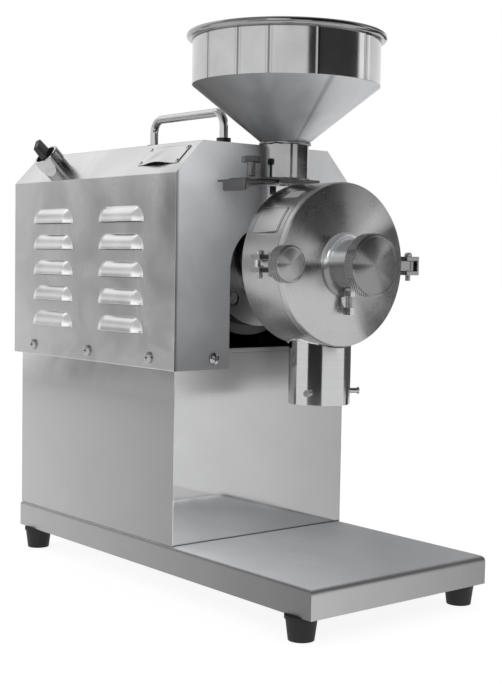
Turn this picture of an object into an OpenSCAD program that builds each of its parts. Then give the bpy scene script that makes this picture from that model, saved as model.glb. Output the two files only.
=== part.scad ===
// Table-top disc mill: a stainless grain grinder with a motor in a louvred cover,
// a hinged grinding drum in front of it and a hopper above the feed throat.
// Millimetres, +Z up, the door faces -Y. The origin is the middle of the footprint on the floor.

/* [Base tray] */
// Width of the folded tray
base_w = 220; // [200:1:250]
// Length of the folded tray
base_len = 488; // [450:1:560]
// Height of the folded tray
base_h = 26.5; // [20:0.5:40]
// Sheet thickness of the tray
base_sheet = 2; // [1.5:0.5:3]
// Radius of the folds along the tray's sides and rear
base_bend = 3.5; // [3.2:0.1:6]
// Radius of the fold along the tray's front
base_front_bend = 6; // [3.2:0.1:8]
// Width of the lips under the long sides
base_lip = 46; // [42:1:60]

/* [Feet] */
// Height of a rubber foot
foot_h = 22; // [16:1:35]
// Diameter of a foot at the tray
foot_top_d = 30; // [26:1:36]
// Diameter of a foot on the floor
foot_bottom_d = 23; // [20:1:30]
// Distance of a foot's centre from the tray's sides
foot_side = 10; // [9:0.5:27]
// Distance of a foot's centre from the tray's ends
foot_end = 23; // [18:1:40]
// Thickness of the flange on top of a foot
foot_flange_t = 3; // [2:0.5:5]
// Rubber between a foot's screw head and the tray
foot_seat = 6; // [4:0.5:10]
// Diameter of a foot's screw
foot_screw_d = 6; // [4:0.5:8]

/* [Cabinet] */
// Gap from the cabinet's sides to the tray's edges
cab_side_inset = 1; // [0.5:0.5:6]
// Gap from the cabinet's back to the tray's back edge
cab_rear_inset = 1; // [0.5:0.5:6]
// Sheet thickness of the cabinet
cab_sheet = 1.5; // [1:0.5:3]
// Thickness of the deck that carries the motor
deck_t = 4; // [3:0.5:6]

/* [Motor cover] */
// Distance from the tray's front edge to the cover's front
cover_setback = 197; // [190:1:205]
// Reach of the cover behind the tray
cover_rear_over = 14; // [8:1:25]
// Height of the cover's upright sides
cover_side_h = 187; // [184:1:200]
// Rise of the sloping facets
cover_rise = 32; // [26:1:40]
// Width of the flat top
cover_top_w = 160; // [150:1:170]
// Sheet thickness of the cover
cover_sheet = 1.5; // [1:0.5:2]
// How far the cover hangs over the cabinet
cover_overlap = 20; // [16:1:30]
// Gap between the cover and the cabinet's sides
cover_fit = 0.3; // [0.2:0.1:0.8]
// Width of the arch in the cover's front
arch_w = 90; // [84:1:100]
// Drop of the arch's centre below the mill axis
arch_drop = 7; // [4:1:10]
// Diameter of the cover's screws
cover_screw_d = 5; // [3:0.5:6]
// Height of the screw row above the cover's lower edge
cover_screw_rise = 10.5; // [9:0.5:13]
// Distance of the first side screw from the cover's front
cover_screw_first = 42; // [30:1:60]
// Distance of the last side screw from the cover's back
cover_screw_last = 43; // [30:1:60]
// Distance of a front screw from the middle
cover_screw_front = 64; // [58:1:80]

/* [Louvres] */
// Height of a louvre's hood
louvre_h = 15; // [10:0.5:18]
// How far a hood stands out
louvre_out = 6; // [4:0.5:8]
// Distance between the rows
louvre_pitch = 27.2; // [22:0.1:28]
// Number of rows
louvre_rows = 5; // [2:1:5]
// Height of the lowest hood above the cover's lower edge
louvre_first = 33.5; // [25:0.5:40]
// Distance of the first column from the cover's front
louvre_front = 53; // [40:1:60]
// Distance of the last column from the cover's back
louvre_back = 42; // [30:1:60]
// Gap between the two columns
louvre_gap = 50; // [30:1:60]

/* [Top handle] */
// Distance between the handle's legs
handle_span = 124; // [100:1:140]
// Diameter of the handle's rod
handle_rod_d = 9; // [7:0.5:12]
// Height of the grip above the cover
handle_h = 39; // [32:1:55]
// Radius of the handle's bends
handle_bend = 14; // [10:1:18]
// Distance of the front leg from the cover's front
handle_front = 71; // [60:1:90]
// Height of the round nuts on the handle's legs
handle_collar_h = 12; // [6:0.5:14]

/* [Name plate and switch] */
// Length of the bare plate on the facet
plate_len = 66; // [50:1:70]
// Width of the plate up the facet
plate_w = 25; // [20:1:28]
// Thickness of the plate
plate_t = 0.8; // [0.6:0.1:1.2]
// Distance of the plate from the cover's front
plate_front = 12; // [8:1:20]
// Distance of the switch from the cover's back
switch_back = 70; // [55:1:90]
// Height of the switch's collar
switch_h = 22; // [18:1:26]
// Diameter of the switch's front ring
switch_d = 29; // [26:0.5:32]
// Diameter of the switch's thread
switch_thread_d = 22; // [20:0.5:23]
// Length of the switch lever above its collar
lever_out = 15; // [10:1:20]
// Angle of the lever from the slope at rest
lever_angle = 40; // [0:5:60]

/* [Mill head] */
// Height of the mill axis above the floor
axis_h = 319; // [290:0.5:360]
// Distance from the tray's front edge to the door's front
door_setback = 84.5; // [80:0.5:90]
// Thickness of the door
door_t = 7; // [6:0.5:9]
// Gap between the door and the drum
door_gap = 0.5; // [0.3:0.1:1]
// Outer diameter of the drum and door
drum_d = 152; // [140:1:164]
// Depth of the drum
drum_depth = 49; // [48:0.5:51]
// Wall of the drum
drum_wall = 4; // [3:0.5:5]
// Thickness of the drum's back
drum_back = 5; // [4:0.5:6]
// Outer diameter of the feed throat
throat_d = 72; // [68:1:76]
// Bore of the feed throat
throat_bore = 48; // [46:1:50]
// Diameter of the mill flange
flange_d = 124; // [118:1:130]
// Thickness of the mill flange
flange_t = 12; // [10:0.5:14]
// Gap from the cover's front sheet to the flange
flange_gap = 6.5; // [6:0.5:9]
// Bolt circle of the mill flange
flange_pcd = 98; // [96:1:104]
// Diameter of the flange bolts
flange_bolt_d = 6; // [6:1:8]
// Diameter of the recess round each flange bolt
flange_sink_d = 16; // [15:0.5:18]
// Depth of that recess
flange_sink = 4; // [2:0.5:5]

/* [Spout] */
// Outer diameter of the outlet spout
spout_d = 59; // [50:1:62]
// Wall of the spout
spout_wall = 1.5; // [1:0.5:3]
// Reach of the spout below the mill axis
spout_drop = 131; // [115:1:145]
// Distance of the spout's centre behind the door's front
spout_back = 31; // [30:0.5:34]
// Length of a bag peg
peg_len = 9; // [6:1:12]
// Diameter of a bag peg
peg_d = 5; // [4:0.5:6]
// Height of the pegs above the spout's mouth
peg_rise = 12; // [10:1:20]

/* [Inlet and gate] */
// Outer diameter of the inlet and hopper neck
inlet_d = 47; // [44:1:48]
// Wall of the inlet
inlet_wall = 1.5; // [1:0.5:2]
// Distance of the inlet's axis before the cover's front
inlet_fore = 25.5; // [25:0.5:27]
// Height of the gate box's floor plate above the mill axis
inlet_rise = 76.5; // [76:0.5:84]
// Thickness of the gate box's plates
gate_plate_t = 2; // [1.5:0.5:3]
// Bore through the plates
gate_bore = 38; // [34:1:39]
// Reach of the gate box behind the inlet's axis, at its closed end
gate_end = 25; // [24:0.5:30]
// Reach of the gate box's floor plate on the gate's side
gate_mouth = 26; // [25:0.5:32]
// Reach of the tongue that carries the thumb screw
tongue_reach = 50; // [46:0.5:56]
// Width of the gate
gate_w = 41; // [40:0.5:42]
// Thickness of the gate
gate_t = 2; // [1.5:0.5:3]
// Clearance around the gate
gate_gap = 0.3; // [0.2:0.1:0.5]
// Reach of the gate's tail from the inlet's axis
gate_tail = 66; // [60:1:72]
// Height of the gate's bent grip
gate_grip = 11; // [6:0.5:13]
// Width of the gate's bent grip
grip_w = 33; // [28:1:39]
// Diameter of the thumb screw
thumb_d = 8; // [6:0.5:8]
// Diameter of the thumb screw's head
thumb_head_d = 20; // [14:0.5:22]
// Height of the thumb screw's head
thumb_head_h = 6; // [4:0.5:8]
// Length of the thumb screw's bare stem
thumb_stem = 14.5; // [8:0.5:16]
// Distance of the thumb screw from the inlet's axis
thumb_out = 42; // [38:0.5:44]

/* [Hopper] */
// Outer diameter of the hopper's band
band_d = 182; // [160:1:200]
// Height of the band
band_h = 46; // [35:1:60]
// Height of the cone
cone_h = 54; // [45:1:70]
// Height of the neck
neck_h = 36; // [30:1:45]
// Sheet thickness of the hopper
hopper_sheet = 1.2; // [1:0.1:1.5]
// Diameter of the rolled bead on the rim
bead_d = 7; // [5:0.5:8]

/* [Adjuster] */
// Diameter of the adjusting knob
knob_d = 58; // [52:1:62]
// Length of the adjusting knob
knob_t = 12.5; // [10:0.5:16]
// Diameter of the boss on the door
boss_d = 48; // [44:1:50]
// Length of the boss
boss_len = 28.5; // [26:0.5:34]
// Diameter of the ring at the boss's foot
boss_ring_d = 60; // [56:1:64]
// Diameter of the stem that carries the front disc
stem_d = 26; // [24:0.5:28]
// Diameter of the adjusting screw
screw_d = 12; // [10:0.5:13]
// Diameter of the lock screw
lock_d = 6; // [5:0.5:6]
// Distance of the lock screw before the door's front
lock_fore = 7; // [6.5:0.5:9]

/* [Grinding discs] */
// Diameter of both discs
disc_d = 116; // [100:1:124]
// Thickness of the front disc
disc_front_t = 10; // [8:0.5:11]
// Thickness of the turning disc
disc_back_t = 12; // [10:0.5:13]
// Gap between the discs at rest
disc_gap = 1.6; // [1.4:0.1:2]
// Gap from the turning disc to the drum's back
disc_back_gap = 4.4; // [4:0.2:5]
// Thickness of the front disc's carrier
carrier_t = 6; // [5:0.5:7]
// Number of grooves in each disc
groove_count = 12; // [8:1:16]

/* [Clamp and hinge] */
// Distance of the clamp's pin from the drum
clamp_off = 6.5; // [6:0.5:10]
// Distance of the hinge's pin from the drum
hinge_off = 16; // [14:0.5:20]
// Distance of the clamp's pin behind the drum's front
clamp_back = 15; // [12:0.5:20]
// Thickness of the hinge bracket's plates
hinge_ear_t = 4; // [3:0.5:5]
// Gap between the hinge bracket's plates
hinge_gap = 10; // [9:0.5:12]
// Thickness of the clamp bracket's plates
clamp_ear_t = 4; // [3:0.5:6]
// Gap between the clamp bracket's plates
clamp_gap = 8; // [7.5:0.5:10]
// Thickness of each half of the door's fork
lug_t = 6.5; // [4:0.5:8]
// Diameter of the pivot bolts
pivot_d = 5; // [5:0.5:7]
// Diameter of the clamp's rod
rod_d = 6; // [5:0.5:7]
// Diameter of the clamp's knob
clamp_knob_d = 34; // [28:1:36]
// Length of the clamp's knob
clamp_knob_t = 13.5; // [10:0.5:16]

/* [Motor] */
// Height of the motor's axis above its deck
motor_rise = 83; // [80:0.5:95]
// Diameter of the motor's frame over its fins
motor_d = 140; // [130:1:146]
// Length of the motor's frame
motor_len = 140; // [120:1:150]
// Diameter of the shaft in the mill
shaft_d = 20; // [18:1:22]
// Diameter of the shaft in the front bearing
bearing_bore = 25; // [24:1:26]
// Outer diameter of the bearings
bearing_d = 52; // [50:1:56]
// Width of the bearings
bearing_w = 15; // [13:1:16]
// Length of the rotor's core
core_len = 80; // [60:1:90]
// Diameter of the capacitor
cap_d = 36; // [30:1:40]
// Length of the capacitor
cap_len = 80; // [60:1:100]

/* [Cord inlet] */
// Bore of the cord gland
gland_bore = 9; // [7:0.5:11]
// Diameter of the gland's thread
gland_thread_d = 16; // [14:0.5:20]
// Reach of the gland from the cabinet's side
gland_out = 19; // [17:1:22]

/* [Hidden] */
$fn = 64;
steel = [0.72, 0.73, 0.74];
bright = [0.82, 0.83, 0.84];
black = [0.09, 0.09, 0.10];
dark = [0.28, 0.28, 0.30];
copper = [0.72, 0.45, 0.20];

// Clearances shared by mating pieces
weld_gap = 0.05;
run_fit = 0.05;
hole_fit = 0.25;
seat_gap = 0.3;
eps = 0.1;

// Places along Y, from the tray's front edge
overall_len = base_len + cover_rear_over;
front_y = -overall_len / 2;
base_rear_y = front_y + base_len;
door_y = front_y + door_setback;
door_back_y = door_y + door_t;
drum_y = door_back_y + door_gap;
drum_back_y = drum_y + drum_depth;
drum_floor_y = drum_back_y - drum_back;
cover_y = front_y + cover_setback;
cover_rear_y = base_rear_y + cover_rear_over;
cover_len = cover_rear_y - cover_y;
cab_y = cover_y + cover_sheet;
cab_rear_y = base_rear_y - cab_rear_inset;
cab_len = cab_rear_y - cab_y;
flange_y = cab_y + flange_gap;
flange_back_y = flange_y + flange_t;
inlet_y = cover_y - inlet_fore;
spout_y = door_y + spout_back;
boss_y = door_y - boss_len;
knob_back_y = boss_y - seat_gap;
knob_y = knob_back_y - knob_t;

// Heights above the floor
tray_top = foot_h + base_h;
cab_top = axis_h - motor_rise;
cover_z = cab_top - cover_overlap;
shoulder_z = cover_z + cover_side_h;
cover_top = shoulder_z + cover_rise;
inlet_top = axis_h + inlet_rise;
gate_z = inlet_top + gate_gap;
gate_room = gate_t + 2 * gate_gap;
neck_z = inlet_top + gate_room + gate_plate_t;
cone_z = neck_z + neck_h;
band_z = cone_z + cone_h;
rim_z = band_z + band_h;

// Widths
cab_w = base_w - 2 * cab_side_inset;
cover_w = cab_w + 2 * cover_fit + 2 * cover_sheet;
drum_r = drum_d / 2;
facet_run = (cover_w - cover_top_w) / 2;
facet_len = sqrt(facet_run * facet_run + cover_rise * cover_rise);
facet_tilt = atan2(cover_rise, facet_run);

// Grinding stack inside the drum
disc_back_y = drum_floor_y - disc_back_gap - disc_back_t;
disc_front_y = disc_back_y - disc_gap - disc_front_t;
carrier_y = disc_front_y - carrier_t;
nut_t = 7;
shaft_front_y = disc_back_y - nut_t;
auger_y = disc_back_y + disc_back_t;
auger_end_y = flange_y + 4;
disc_eye = 20;
carrier_pin_x = 32;
carrier_pin_d = 6;

// Adjusting screw inside its boss
boss_cap = 5;
collar_t = 3;
collar_d = 20;
collar_y = boss_y + boss_cap + seat_gap;
stem_y = collar_y + collar_t + 1.5;
screw_end_y = carrier_y - 6;

// Clamp and hinge pivots
clamp_x = -(drum_r + clamp_off);
clamp_y = drum_y + clamp_back;
hinge_x = drum_r + hinge_off;
hinge_y = drum_y - door_gap / 2;
eye_d = 11;
ear_w = 12;
lug_fore = 6.5;
lug_y = door_y - lug_fore;
clamp_knob_back_y = lug_y - 2 * seat_gap;
clamp_knob_y = clamp_knob_back_y - clamp_knob_t;
knuckle_d = 12;
hinge_half = hinge_gap / 2 + hinge_ear_t;
clamp_half = clamp_gap / 2 + clamp_ear_t;
lug_gap = rod_d + 2;
pivot_head_h = 4;
pivot_head_d = pivot_d + 2.5;
pivot_tail = 5.5;

// Motor train behind the flange
bell_t = 22;
frame_y = flange_back_y + bell_t;
frame_end_y = frame_y + motor_len;
rear_bell_t = 18;
rear_bell_y = frame_end_y + rear_bell_t;
fan_y = rear_bell_y + 4;
fan_t = 16;
fan_hub_d = 34;
fan_r = 62;
fan_blade_t = 2.4;
fan_cover_len = 36;
core_y = frame_y + (motor_len - core_len) / 2;
fin_h = 4;
frame_wall = 6;
frame_r = motor_d / 2 - fin_h;
stator_r = frame_r - frame_wall;
rotor_r = 36;
air_gap = 0.6;
rear_shaft_d = 16;
motor_foot_x = 54;
motor_foot_t = 10;
motor_bolt_d = 8;

// A round bar along +Y between two places
module y_bar(d, y0, y1, x = 0, z = axis_h)
    translate([x, y0, z]) rotate([-90, 0, 0]) cylinder(d = d, h = y1 - y0);

// An upright round bar between two heights
module z_bar(d, x, y, z0, z1)
    translate([x, y, z0]) cylinder(d = d, h = z1 - z0);

// A hexagon bar, measured across its flats
module hex_bar(flats, h)
    cylinder(d = flats / cos(30), h = h, $fn = 6);

// A block given by its lowest and highest corners
module block(low, high)
    translate(low) cube(high - low);

// Both mirror images across the middle plane
module both_sides()
    for (side = [0, 1]) mirror([side, 0, 0]) children();

// Places a piece on the left facet: +Z leaves the sheet, +X goes up the slope
module on_facet(up, y)
    translate([-cover_w / 2 + facet_run * up, y, shoulder_z + cover_rise * up])
        rotate([0, -facet_tilt, 0]) children();

// A flat outline with its two upper corners rounded, the left one to its own radius
module bent_outline(w, h, r, left) {
    translate([-w / 2, 0]) square([w, h - max(r, left)]);
    translate([-w / 2 + left, 0]) square([w - r - left, h]);
    translate([-w / 2, 0]) square([left, h - left]);
    translate([w / 2 - r, 0]) square([r, h - r]);
    translate([-w / 2 + left, h - left]) circle(left);
    translate([w / 2 - r, h - r]) circle(r);
}

// A box with rounded upper edges on all four sides, the front one to its own radius
module bent_box(w, len, h, r, front)
    intersection() {
        rotate([90, 0, 0]) linear_extrude(len, center = true) bent_outline(w, h, r, r);
        rotate([90, 0, 90]) linear_extrude(w, center = true) bent_outline(len, h, r, front);
    }

module base_tray() {
    mid = front_y + base_len / 2;
    inner_w = base_w - 2 * base_sheet;
    inner_len = base_len - 2 * base_sheet;
    lip_x = base_w / 2 - base_sheet;
    color(steel) difference() {
        union() {
            translate([0, mid, foot_h]) difference() {
                bent_box(base_w, base_len, base_h, base_bend, base_front_bend);
                translate([0, 0, -eps])
                    bent_box(inner_w, inner_len, base_h - base_sheet + eps, base_bend - base_sheet,
                        base_front_bend - base_sheet);
            }
            both_sides() block([lip_x - base_lip, front_y + base_sheet, foot_h],
                [lip_x + base_sheet / 2, base_rear_y - base_sheet, foot_h + base_sheet]);
        }
        foot_places() cylinder(d = foot_screw_d + 2 * hole_fit, h = 3 * base_sheet, center = true);
    }
}

// The four foot centres at the tray's lower face
module foot_places()
    for (y = [front_y + foot_end, base_rear_y - foot_end], side = [-1, 1])
        translate([side * (base_w / 2 - foot_side), y, foot_h]) children();

module rubber_feet()
    color(black) foot_places() difference() {
        union() {
            translate([0, 0, -foot_h])
                cylinder(d1 = foot_bottom_d, d2 = foot_top_d - 2, h = foot_h - foot_flange_t);
            translate([0, 0, -foot_flange_t]) cylinder(d = foot_top_d, h = foot_flange_t);
        }
        translate([0, 0, -foot_h - eps]) cylinder(d = 2 * foot_screw_d, h = foot_h - foot_seat + eps);
        translate([0, 0, -foot_h]) cylinder(d = foot_screw_d + 2 * hole_fit, h = 2 * foot_h);
    }

module foot_screws()
    color(bright) foot_places() {
        head_h = 0.65 * foot_screw_d;
        nut_h = 0.85 * foot_screw_d;
        translate([0, 0, -foot_seat - head_h]) cylinder(d = 1.85 * foot_screw_d, h = head_h);
        translate([0, 0, -foot_seat - head_h / 2])
            cylinder(d = foot_screw_d, h = foot_seat + head_h / 2 + base_sheet + 1.3 * nut_h);
        translate([0, 0, base_sheet]) hex_bar(1.6 * foot_screw_d, nut_h);
    }

module cabinet() {
    wall_top = cab_top - deck_t;
    color(steel) difference() {
        block([-cab_w / 2, cab_y, tray_top], [cab_w / 2, cab_rear_y, wall_top]);
        block([-cab_w / 2 + cab_sheet, cab_y + cab_sheet, tray_top - eps],
            [cab_w / 2 - cab_sheet, cab_rear_y - cab_sheet, wall_top + eps]);
        cover_screw_places() cylinder(d = cover_screw_d + 2 * hole_fit, h = 40, center = true);
        translate([cab_w / 2, gland_y, gland_z]) rotate([0, 90, 0])
            cylinder(d = gland_thread_d + 2 * hole_fit, h = 4 * cab_sheet, center = true);
    }
}

module motor_deck()
    color(steel) difference() {
        block([-cab_w / 2, cab_y, cab_top - deck_t], [cab_w / 2, cab_rear_y, cab_top]);
        motor_bolt_places() cylinder(d = motor_bolt_d + 2 * hole_fit, h = 3 * deck_t, center = true);
    }

// The cover's outline seen from the front, thinned by a sheet thickness
module cover_outline(t) {
    nx = cover_rise / facet_len;
    nz = facet_run / facet_len;
    half = cover_w / 2 - t;
    knee = shoulder_z - cover_z - t * (1 - nx) / nz;
    brow = cover_top_w / 2 - t * (1 - nz) / nx;
    top = cover_top - cover_z - t;
    polygon([[-half, 0], [half, 0], [half, knee], [brow, top], [-brow, top], [-half, knee]]);
}

// The cover's outline drawn out along Y
module cover_bar(t, y0, y1, drop)
    translate([0, y1, cover_z - drop]) rotate([90, 0, 0]) linear_extrude(y1 - y0) {
        translate([0, drop]) cover_outline(t);
        translate([-cover_w / 2 + t, 0]) square([cover_w - 2 * t, drop + 1]);
    }

// The cover's screws: three on each side and two in front, +Z along each screw
cover_screw_pitch = (cover_len - cover_screw_first - cover_screw_last) / 2;
module cover_screw_places() {
    z = cover_z + cover_screw_rise;
    for (side = [-1, 1], k = [0:2])
        translate([side * cover_w / 2, cover_y + cover_screw_first + k * cover_screw_pitch, z])
            rotate([0, side * 90, 0]) children();
    for (side = [-1, 1])
        translate([side * cover_screw_front, cover_y, z]) rotate([90, 0, 0]) children();
}

// One louvre's rounded bulge on the left side, thinned by a sheet thickness
louvre_len = (cover_len - louvre_front - louvre_back - louvre_gap) / 2;
louvre_r = (louvre_h * louvre_h + louvre_out * louvre_out) / (2 * louvre_out);
module louvre_bulge(t) {
    straight = louvre_len - 2 * louvre_h;
    translate([-cover_w / 2 + louvre_r - louvre_out, louvre_h, 0]) {
        rotate([-90, 0, 0]) cylinder(r = louvre_r - t, h = straight);
        sphere(r = louvre_r - t);
        translate([0, straight, 0]) sphere(r = louvre_r - t);
    }
}

// All louvre places on the left side, at the lower edge of each hood
module louvre_places()
    for (row = [0:louvre_rows - 1], col = [0, 1])
        translate([0, cover_y + louvre_front + col * (louvre_len + louvre_gap),
            cover_z + louvre_first + row * louvre_pitch]) children();

// The space above a hood's lower edge, outside or just through the sheet
module louvre_space(depth)
    block([-cover_w / 2 - 2 * louvre_out, -eps, 0],
        [-cover_w / 2 + depth, louvre_len + eps, louvre_h + eps]);

module motor_cover()
    color(steel) difference() {
        union() {
            cover_bar(0, cover_y, cover_rear_y, 0);
            both_sides() louvre_places() intersection() {
                louvre_bulge(0);
                louvre_space(cover_sheet / 2);
            }
        }
        cover_bar(cover_sheet, cover_y + cover_sheet, cover_rear_y - cover_sheet, 5);
        both_sides() louvre_places() intersection() {
            louvre_bulge(cover_sheet);
            translate([0, 0, -eps]) louvre_space(2 * cover_sheet);
        }
        y_bar(arch_w, cover_y - eps, cover_y + 2 * cover_sheet, 0, axis_h - arch_drop);
        block([-arch_w / 2, cover_y - eps, cover_z - eps],
            [arch_w / 2, cover_y + 2 * cover_sheet, axis_h - arch_drop]);
        cover_screw_places() cylinder(d = cover_screw_d + 2 * hole_fit, h = 8 * cover_sheet, center = true);
        handle_places() cylinder(d = handle_rod_d + 2 * hole_fit, h = 6 * cover_sheet, center = true);
        on_facet(0.42, switch_y) cylinder(d = switch_thread_d + 2 * hole_fit, h = 8 * cover_sheet, center = true);
        rivet_places() cylinder(d = rivet_d + 2 * hole_fit, h = 8 * cover_sheet, center = true);
    }

// A pan-head screw with its head on the sheet, and its cross slot
module cover_screws()
    color(bright) cover_screw_places() difference() {
        union() {
            intersection() {
                cylinder(d = 2.3 * cover_screw_d, h = 0.66 * cover_screw_d);
                translate([0, 0, -1.5 * cover_screw_d]) sphere(r = 2.16 * cover_screw_d);
            }
            translate([0, 0, -8]) cylinder(d = cover_screw_d, h = 8.5);
        }
        for (turn = [0, 90]) rotate(turn) translate([-cover_screw_d / 2, -0.5, 0.3 * cover_screw_d])
            cube([cover_screw_d, 1, cover_screw_d]);
    }

// Feet of the handle on the cover's top
handle_y = [cover_y + handle_front, cover_y + handle_front + handle_span];
handle_leg_in = 14;
module handle_places()
    for (y = handle_y) translate([0, y, cover_top]) children();

// A quarter bend of round rod in the YZ plane, turned to start at a given angle
module rod_bend(r, d, turn)
    rotate([90, 0, 90]) rotate(turn) rotate_extrude(angle = 90) translate([r, 0]) circle(d = d);

module top_handle() {
    grip_z = cover_top + handle_h;
    knee_z = grip_z - handle_bend;
    color(bright) {
        handle_places() translate([0, 0, -handle_leg_in])
            cylinder(d = handle_rod_d, h = handle_leg_in + knee_z - cover_top);
        translate([0, handle_y[0] + handle_bend, knee_z]) rod_bend(handle_bend, handle_rod_d, 90);
        translate([0, handle_y[1] - handle_bend, knee_z]) rod_bend(handle_bend, handle_rod_d, 0);
        y_bar(handle_rod_d, handle_y[0] + handle_bend, handle_y[1] - handle_bend, 0, grip_z);
    }
}

// A round nut on each leg above the sheet
module handle_collars()
    color(dark) handle_places() difference() {
        cylinder(d = handle_rod_d + 6, h = handle_collar_h);
        translate([0, 0, -eps]) cylinder(d = handle_rod_d + 2 * run_fit, h = handle_collar_h + 2 * eps);
    }

// A hexagon nut on each leg below the sheet
handle_nut_h = 7;
module handle_nuts()
    color(bright) handle_places() translate([0, 0, -cover_sheet - handle_nut_h]) difference() {
        hex_bar(1.6 * handle_rod_d, handle_nut_h);
        translate([0, 0, -eps]) cylinder(d = handle_rod_d + 2 * run_fit, h = handle_nut_h + 2 * eps);
    }

// Bare plate on the left facet, with a rivet at each corner
plate_up = 0.58;
plate_mid_y = cover_y + plate_front + plate_len / 2;
rivet_d = 2.4;
rivet_inset = 3.2;
module rivet_places()
    for (sx = [-1, 1], sy = [-1, 1]) on_facet(plate_up, plate_mid_y)
        translate([sx * (plate_w / 2 - rivet_inset), sy * (plate_len / 2 - rivet_inset), 0]) children();

module name_plate()
    color(bright) difference() {
        on_facet(plate_up, plate_mid_y) translate([-plate_w / 2, -plate_len / 2, 0])
            cube([plate_w, plate_len, plate_t]);
        rivet_places() cylinder(d = rivet_d + 2 * hole_fit, h = 6 * plate_t, center = true);
    }

module plate_rivets()
    color(bright) rivet_places() {
        translate([0, 0, -3]) cylinder(d = rivet_d, h = 3 + plate_t + 0.2);
        translate([0, 0, plate_t]) cylinder(d1 = 2 * rivet_d, d2 = 1.2 * rivet_d, h = 0.9);
    }

// Rotary switch on the facet: a stepped chrome collar round a black lever
switch_y = cover_rear_y - switch_back;
switch_base_h = 9;
switch_body = 18;
switch_block_w = 30;
switch_block_h = 26;
lever_disc_d = switch_d - 6;
lever_stem_d = 10;
module switch_collar()
    color(bright) on_facet(0.42, switch_y) difference() {
        union() {
            cylinder(d = switch_d - 2, h = switch_base_h);
            translate([0, 0, switch_base_h]) cylinder(d = switch_d, h = switch_h - switch_base_h - 1);
            translate([0, 0, switch_h - 1]) cylinder(d1 = switch_d, d2 = switch_d - 1.2, h = 1);
            translate([0, 0, -switch_body]) cylinder(d = switch_thread_d, h = switch_body + 1);
        }
        translate([0, 0, switch_base_h + 2]) cylinder(d = lever_disc_d + 2 * seat_gap, h = switch_h);
        translate([0, 0, -switch_body - eps]) cylinder(d = lever_stem_d + 2 * run_fit, h = 2 * switch_body + switch_h);
    }

module switch_nut()
    color(dark) on_facet(0.42, switch_y) translate([0, 0, -cover_sheet - 5]) difference() {
        hex_bar(switch_thread_d + 5, 5);
        translate([0, 0, -eps]) cylinder(d = switch_thread_d + 2 * run_fit, h = 6);
    }

module switch_block()
    color(black) on_facet(0.42, switch_y) translate([0, 0, -switch_body]) difference() {
        translate([-switch_block_w / 2, -switch_block_w / 2, -switch_block_h])
            cube([switch_block_w, switch_block_w, switch_block_h]);
        translate([0, 0, -switch_block_h / 2])
            cylinder(d = lever_stem_d + 2 * run_fit, h = switch_block_h / 2 + eps);
    }

module switch_lever()
    color(black) on_facet(0.42, switch_y) {
        translate([0, 0, -switch_body - 8]) cylinder(d = lever_stem_d, h = switch_body + switch_base_h + 12);
        translate([0, 0, switch_base_h + 2 + seat_gap]) cylinder(d = lever_disc_d, h = switch_h - switch_base_h - 6);
        rotate(lever_angle) translate([-lever_disc_d / 2 + 1.5, -4, switch_base_h + 4])
            cube([lever_disc_d - 3, 8, switch_h + lever_out - switch_base_h - 4]);
    }

// Cord gland low on the cabinet's right side
gland_y = cab_rear_y - 45;
gland_z = tray_top + 40;
gland_hex_h = 6;
module cord_gland()
    color(black) translate([cab_w / 2, gland_y, gland_z]) rotate([0, 90, 0]) difference() {
        union() {
            hex_bar(gland_thread_d + 6, gland_hex_h);
            translate([0, 0, gland_hex_h]) cylinder(d = gland_thread_d + 4, h = gland_out - gland_hex_h - 4);
            translate([0, 0, gland_out - 4]) cylinder(d1 = gland_thread_d + 4, d2 = gland_thread_d - 2, h = 4);
            translate([0, 0, -12]) cylinder(d = gland_thread_d, h = 13);
            translate([0, 0, -cab_sheet - 5]) hex_bar(gland_thread_d + 6, 5);
        }
        translate([0, 0, -12 - eps]) cylinder(d = gland_bore, h = gland_out + 13);
    }

// Motor feet: places of the four bolts on the deck's top
motor_bolt_y = [frame_y + 25, frame_end_y - 25];
module motor_bolt_places()
    for (y = motor_bolt_y, side = [-1, 1]) translate([side * motor_foot_x, y, cab_top]) children();

module motor_frame()
    color(dark) difference() {
        union() {
            y_bar(2 * frame_r, frame_y, frame_end_y);
            for (k = [0:23]) translate([0, frame_y, axis_h]) rotate([-90, 15 * k, 0])
                translate([frame_r - 2, -1.25, 0]) cube([fin_h + 2, 2.5, motor_len]);
            both_sides() {
                block([motor_foot_x - 16, frame_y + 10, cab_top],
                    [motor_foot_x + 12, frame_end_y - 10, cab_top + motor_foot_t]);
                block([motor_foot_x - 16, frame_y + 10, cab_top],
                    [motor_foot_x - 9, frame_end_y - 10, axis_h - 45]);
            }
        }
        y_bar(2 * stator_r, frame_y - eps, frame_end_y + eps);
        motor_bolt_places() cylinder(d = motor_bolt_d + 2 * hole_fit, h = 3 * motor_foot_t, center = true);
    }

module motor_bolts()
    color(bright) motor_bolt_places() {
        head_h = 0.65 * motor_bolt_d;
        nut_h = 0.8 * motor_bolt_d;
        translate([0, 0, motor_foot_t]) hex_bar(1.6 * motor_bolt_d, head_h);
        translate([0, 0, -deck_t - 1.4 * nut_h])
            cylinder(d = motor_bolt_d, h = motor_foot_t + deck_t + 1.4 * nut_h + head_h / 2);
        translate([0, 0, -deck_t - nut_h]) hex_bar(1.6 * motor_bolt_d, nut_h);
    }

// Four bolts that hold the mill flange to the motor's front
flange_bolt_len = flange_t + 12;
module flange_bolt_places()
    for (k = [0:3]) translate([0, flange_y, axis_h]) rotate([0, 45 + 90 * k, 0])
        translate([flange_pcd / 2, 0, 0]) rotate([90, 0, 0]) children();

bearing_front_y = flange_back_y + 3;
bearing_rear_y = frame_end_y + 1;
rear_bearing_bore = 20;

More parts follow.
